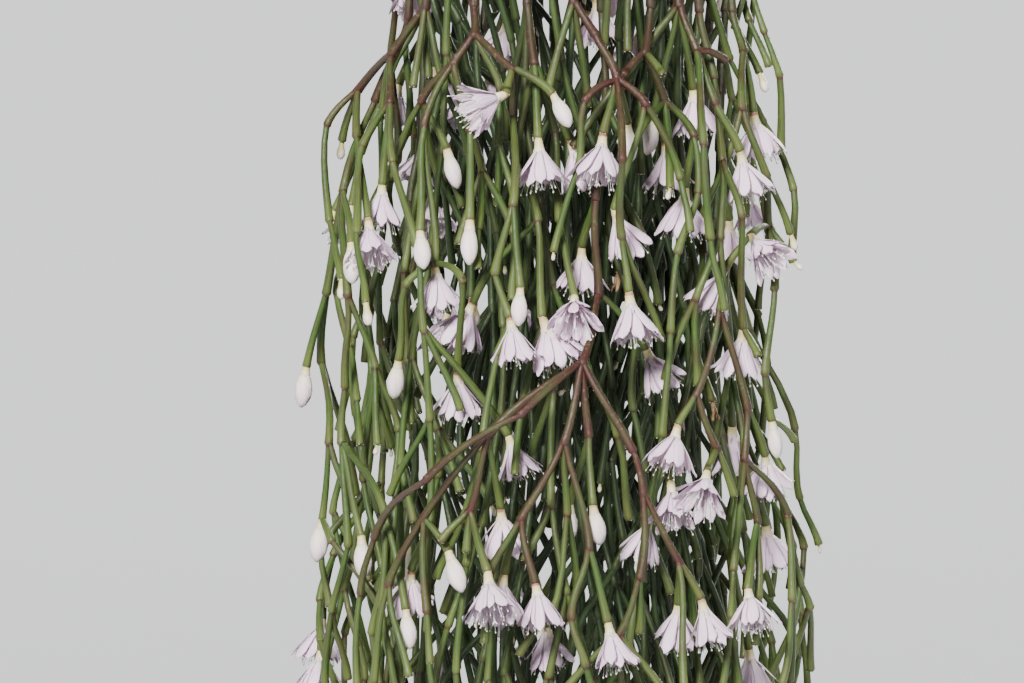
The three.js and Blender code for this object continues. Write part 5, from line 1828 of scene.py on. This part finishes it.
def pot_radius(height):
    return POT_BASE_RADIUS + (POT_TOP_RADIUS - POT_BASE_RADIUS) * height / POT_HEIGHT


POT_SIDES = 128
POT_CORNER = 0.7
COLLAR_SHARE = 0.8
COLLAR_STEP = (0.5, 0.8)
COLLAR_TOP_STEP = 0.4
LIP_BEVEL = (1.2, 1.0)


def pot_paint():
    """Matt moulded plastic, faintly mottled, with fine rings left by the mould and a little lime."""
    p = Paint("pot_plastic", Specular_IOR_Level=0.4)
    where = p.where()
    mottle = p.noise(where, 45, 4)
    fine = p.noise(where, 1500, 2)
    rings = p.noise(p.join(0.0, 0.0, p.split(where)[2]), 900, 2)
    colour = p.mix(p.step(mottle, 0.3, 0.7), "9A5F44", "AC6E50")
    lime = p.times(p.step(p.noise(where, 70, 5, 0.65), 0.56, 0.72), 0.3)
    p.set("Base Color", p.mix(lime, colour, "CDB39D"))
    p.set("Roughness", p.step(mottle, 0.3, 0.7, 0.55, 0.72))
    p.bump(p.plus(p.times(fine, 0.35), p.times(rings, 0.5)), 0.35, 0.0002)
    return p.material


def make_pot():
    """The pot with its foot, its collar under the lip, its drain holes and the holes for the wires."""
    wall_top = POT_HEIGHT - LIP_THICKNESS
    collar = wall_top * COLLAR_SHARE
    floor_top = FOOT_HEIGHT + POT_FLOOR
    inner_top = POT_TOP_RADIUS - POT_WALL
    outline = [
        (0, FOOT_HEIGHT), (POT_BASE_RADIUS - FOOT_WIDTH, FOOT_HEIGHT), (POT_BASE_RADIUS - FOOT_WIDTH, 0),
        (POT_BASE_RADIUS, 0), (pot_radius(collar), collar),
        (pot_radius(collar) + COLLAR_STEP[0], collar + COLLAR_STEP[1]),
        (pot_radius(wall_top) + COLLAR_TOP_STEP, wall_top), (LIP_RADIUS, wall_top), (LIP_RADIUS, POT_HEIGHT),
        (inner_top + LIP_BEVEL[0], POT_HEIGHT), (inner_top, POT_HEIGHT - LIP_BEVEL[1]),
        (pot_radius(floor_top) - POT_WALL, floor_top), (0, floor_top),
    ]
    batch = Batch()
    lathe(batch, [(r, z + POT_BASE_Z) for r, z in outline], POT_CORNER, 5, POT_SIDES)
    piece = batch.build("hanging_pot", [pot_paint()])
    holes = holes_round(WIRE_AZIMUTHS, HANGER_CIRCLE_RADIUS, LIP_UNDER_Z - 1, RIM_Z + 1, LIP_HOLE_RADIUS)
    drains = [i * 360 / DRAIN_HOLES for i in range(DRAIN_HOLES)]
    low, high = POT_BASE_Z - 1, POT_BASE_Z + floor_top + 1
    drilled(piece, holes + holes_round(drains, DRAIN_CIRCLE_RADIUS, low, high, DRAIN_HOLE_RADIUS))
    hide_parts("pot")


SOIL_RINGS = 34
SOIL_SIDES = 96
SOIL_ROUGH = 0.2475
SOIL_MIDDLE = 1.2
SOIL_WALL_GAP = 0.2
SOIL_BASE_HEIGHT = 5
SOIL_BASE_INSET = 0.6
CHIPS = 620
CHIP_SIZES = (0.6, 2.1)
CHIP_WIDTHS = (0.35, 0.8)
CHIP_HEIGHTS = (0.25, 0.5)
CHIP_EDGE = 1.6
CHIP_TILT = 0.35
CHIP_RISE = 0.2
CHIP_SPREAD = (0.65, 1.2)
GRIT_SHARE = 0.16
GRIT_SHAPE = (1, 1, 0.8)
GRIT_SHRINK = 0.6


def soil_top(reach, inner):
    """The soil's height at a distance from the axis, higher in the middle than at the wall."""
    return SOIL_TOP_Z + SOIL_CROWN * np.clip((inner - reach) / (inner - SOIL_CROWN_RADIUS), 0, 1)


def make_soil():
    """Soil with a rough crown, and bark chips and pale grit on it."""
    inner = pot_radius(POT_HEIGHT - SOIL_DEPTH_BELOW_RIM) - POT_WALL - TOUCH_GAP - SOIL_WALL_GAP
    floor_z = POT_BASE_Z + FOOT_HEIGHT + POT_FLOOR + TOUCH_GAP
    radii = np.linspace(SOIL_MIDDLE, inner, SOIL_RINGS)
    top = soil_top(radii, inner)
    bumps = DRAW.normal(0, 1, (SOIL_RINGS, SOIL_SIDES))
    bumps = bumps + np.roll(bumps, 1, 1) + np.roll(bumps, -1, 1)
    bumps[-1] = 0
    crown = round_skin(radii, top[:, None] + bumps * SOIL_ROUGH, SOIL_SIDES)
    base_radius = pot_radius(SOIL_BASE_HEIGHT) - POT_WALL - SOIL_BASE_INSET
    skin = np.concatenate([crown, round_skin([base_radius], floor_z, SOIL_SIDES)])
    batch = Batch()
    batch.add_tube(skin, (0, 0, top[0]), (0, 0, floor_z))
    add_chips(batch, inner)
    crumb = plain_paint("soil_crumb", "1E140D", "4A3423", 420, 0.95, 0.9, 0.0006)
    chip = plain_paint("bark_chip", "3B2414", "7A5638", 300, 0.85, 0.7, 0.0004)
    grit = plain_paint("pale_grit", "B9B2A2", "E6E1D6", 900, 0.8, 0.5, 0.0003)
    piece = batch.build("soil_mix", [crumb, chip, grit])
    piece.data.set_sharp_from_angle(angle=50 * RAD)
    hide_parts("soil")


def add_chips(batch, inner):
    """Loose chips and grit half sunk in the soil, clear of the lip."""
    for _ in range(CHIPS):
        reach = math.sqrt(DRAW.uniform()) * (inner - CHIP_EDGE)
        x, y, _ = on_circle(DRAW.uniform(0, 360), reach, 0)
        grit = DRAW.uniform() < GRIT_SHARE
        shape = GRIT_SHAPE if grit else (1, DRAW.uniform(*CHIP_WIDTHS), DRAW.uniform(*CHIP_HEIGHTS))
        size = DRAW.uniform(*CHIP_SIZES) * (GRIT_SHRINK if grit else 1)
        corners = DIAMOND * DRAW.uniform(*CHIP_SPREAD, (len(DIAMOND), 1)) * shape * size
        turn = turn_to(units(DRAW.normal(0, CHIP_TILT, 3) + (0, 0, 1)), DRAW.uniform(0, 6.28))
        middle = (x, y, soil_top(reach, inner) + CHIP_RISE * size)
        batch.add(corners @ turn.T + middle, [DIAMOND_FACES], material=2 if grit else 1)


HOOK_STEPS = 72
HOOK_PAST_TOP = 62
HOOK_WIRE_SIDES = 20
HOOK_NECK = 5
HOOK_BEND = 4
HOOK_END_Z = FERRULE_TOP_Z - FERRULE_HOLE_DEPTH + 1.5
WIRE_SIDES = 14
WIRE_BEND = 2.2
WIRE_SHORTER = (0.9, 0.8)


def metal_paint():
    """Drawn steel wire: bright, with fine relief and a little dulling."""
    p = Paint("steel_wire", Metallic=1.0)
    where = p.where()
    dull = p.noise(where, 220, 4)
    p.set("Base Color", p.mix(p.step(dull, 0.4, 0.7), "B9BCBE", "8D8F90"))
    p.set("Roughness", p.step(dull, 0.3, 0.75, 0.24, 0.48))
    p.bump(p.noise(where, 2600, 2), 0.15, 0.00008)
    return p.material


def finish_metal(batch, name, node, metal):
    piece = batch.build(name, [metal])
    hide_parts(node)
    return piece


def make_hook(metal):
    """The hook: an arc over the rail, and a straight shank down into the ferrule."""
    reach = HOOK_INNER_RADIUS + HOOK_WIRE_RADIUS
    arc = []
    for i in range(HOOK_STEPS + 1):
        angle = (HOOK_TIP_ANGLE - i * (HOOK_TIP_ANGLE + HOOK_PAST_TOP) / HOOK_STEPS) * RAD
        arc.append((math.cos(angle) * reach, 0, math.sin(angle) * reach - HOOK_INNER_RADIUS))
    shank = [(0, 0, arc[-1][2] - HOOK_NECK), (0, 0, HOOK_END_Z)]
    tail = rounded(arc[-2:] + shank, HOOK_BEND, 8)
    batch = Batch()
    sweep(batch, np.concatenate([arc[:-2], tail]), HOOK_WIRE_RADIUS, HOOK_WIRE_SIDES)
    finish_metal(batch, "hanger_hook_wire", "hanger_hook", metal)


def make_wires(metal):
    """The three wires, a little shorter at both ends for their rounded ends."""
    course = [list(point) for point in WIRE_COURSE]
    course[0][1] -= WIRE_SHORTER[0]
    course[-1][1] -= WIRE_SHORTER[1]
    for number, azimuth in enumerate(WIRE_AZIMUTHS):
        batch = Batch()
        way = rounded([on_circle(azimuth, *point) for point in course], WIRE_BEND, 7)
        sweep(batch, way, HANGER_WIRE_RADIUS, WIRE_SIDES)
        finish_metal(batch, f"hanger_strand_{number + 1}", f"hanger_wire_{number + 1}", metal)


FERRULE_SIDES = 64
FERRULE_BEVEL = 0.6
FERRULE_SHOULDER = 2
FERRULE_CORNER = 0.45
# The grooves' middles over the ferrule's bottom, and a groove's outline as (depth, distance up)
GROOVES = (4.5, 9.5)
GROOVE = [(0, -1.2), (0.55, -0.6), (0.55, 0.6), (0, 1.2)]


def make_ferrule(metal):
    """The sleeve that joins the wires, with two crimped grooves."""
    bottom, top, edge = FERRULE_TOP_Z - FERRULE_HEIGHT, FERRULE_TOP_Z, FERRULE_RADIUS
    outline = [(0, bottom), (edge - FERRULE_BEVEL, bottom), (edge, bottom + FERRULE_BEVEL)]
    for middle in GROOVES:
        for inset, aside in GROOVE:
            outline.append((edge - inset, bottom + middle + aside))
    outline += [(edge, top - FERRULE_SHOULDER), (edge - FERRULE_SHOULDER, top), (0, top)]
    batch = Batch()
    lathe(batch, outline, FERRULE_CORNER, 4, FERRULE_SIDES)
    piece = finish_metal(batch, "hanger_sleeve", "hanger_ferrule", metal)
    shank, wire = HOOK_WIRE_RADIUS + TOUCH_GAP, HANGER_WIRE_RADIUS + TOUCH_GAP
    holes = [(0, 0, top - FERRULE_HOLE_DEPTH, top + 1, shank)]
    high = bottom + FERRULE_HOLE_DEPTH
    drilled(piece, holes + holes_round(WIRE_AZIMUTHS, FERRULE_WIRE_CIRCLE, bottom - 1, high, wire))


def make_hanger():
    metal = metal_paint()
    make_hook(metal)
    make_wires(metal)
    make_ferrule(metal)


make_pot()
make_soil()
make_hanger()

# Stage, in metres
BOWL_RADIUS = 6.5
BOWL_FLOOR_Z = -0.95
BOWL_TOP_Z = 2.6
BOWL_CORNER = 1.2
BOWL_SIDES = 96
BOWL_GLOW = 1.25
PHOTO_WIDTH = 0.2844
PHOTO_CENTRE = (-0.0166, -0.0653, -0.4159)
CAMERA_DISTANCE = 1.27
SENSOR = 36.0
LIGHTS_AIM = (0, 0, -0.42)
# Each light's name, place, size, power and tint
LIGHTS = [
    ("key", (-0.6, -2.2, 0.6), 0.6, 178, (1.0, 0.975, 0.95)),
    ("fill", (1.7, -1.7, 0.1), 1.2, 18, (1, 1, 1)),
    ("top", (0, 0.2, 2.4), 1.6, 32, (1, 1, 1)),
    ("rear", (0.9, 2.3, 0.7), 1.6, 160, (1, 1, 1)),
]
ROOM_COLOUR = "D8DADC"
ROOM_STRENGTH = 0.13


def make_stage():
    """A pale round floor that curves up all round."""
    outline = [(0.001, 0, BOWL_FLOOR_Z), (BOWL_RADIUS, 0, BOWL_FLOOR_Z), (BOWL_RADIUS, 0, BOWL_TOP_Z)]
    course = rounded(outline, BOWL_CORNER, 16)
    rings = round_skin(course[:, 0], course[:, 2:], BOWL_SIDES).reshape(-1, 3)
    mesh = bpy.data.meshes.new("pale_floor")
    mesh.from_pydata(rings.tolist(), [], ring_faces(len(course), BOWL_SIDES).tolist())
    mesh.shade_smooth()
    floor = put_in_scene("pale_floor", mesh)
    paint = Paint("pale_floor", Roughness=0.9, Specular_IOR_Level=0.1, Emission_Color="E9EAEB",
                  Emission_Strength=BOWL_GLOW)
    fine = paint.noise(paint.where(), 3, 2)
    paint.set("Base Color", paint.mix(paint.step(fine, 0.3, 0.7), "D3D5D7", "D9DADC"))
    mesh.materials.append(paint.material)
    floor.visible_diffuse = floor.visible_shadow = False


def make_lights():
    for name, place, size, power, tint in LIGHTS:
        light = bpy.data.lights.new(name, "AREA")
        light.shape, light.size, light.energy, light.color = "DISK", size, power, tint
        lamp = put_in_scene(name, light)
        lamp.location = place
        lamp.rotation_mode = "QUATERNION"
        lamp.rotation_quaternion = (Vector(LIGHTS_AIM) - Vector(place)).to_track_quat("-Z", "Y")
    world = bpy.data.worlds.new("soft_room")
    bpy.context.scene.world = world
    world.use_nodes = True
    background = world.node_tree.nodes["Background"]
    background.inputs[0].default_value = srgb(ROOM_COLOUR)
    background.inputs[1].default_value = ROOM_STRENGTH


def make_camera():
    camera = bpy.data.cameras.new("camera")
    camera.sensor_width = SENSOR
    camera.lens = SENSOR * CAMERA_DISTANCE / PHOTO_WIDTH
    camera.clip_start, camera.clip_end = 0.05, 60
    eye = put_in_scene("camera", camera)
    x, y, z = PHOTO_CENTRE
    eye.location = (x, y - CAMERA_DISTANCE, z)
    eye.rotation_euler = (math.pi / 2, 0, 0)
    bpy.context.scene.camera = eye


make_stage()
make_lights()
make_camera()
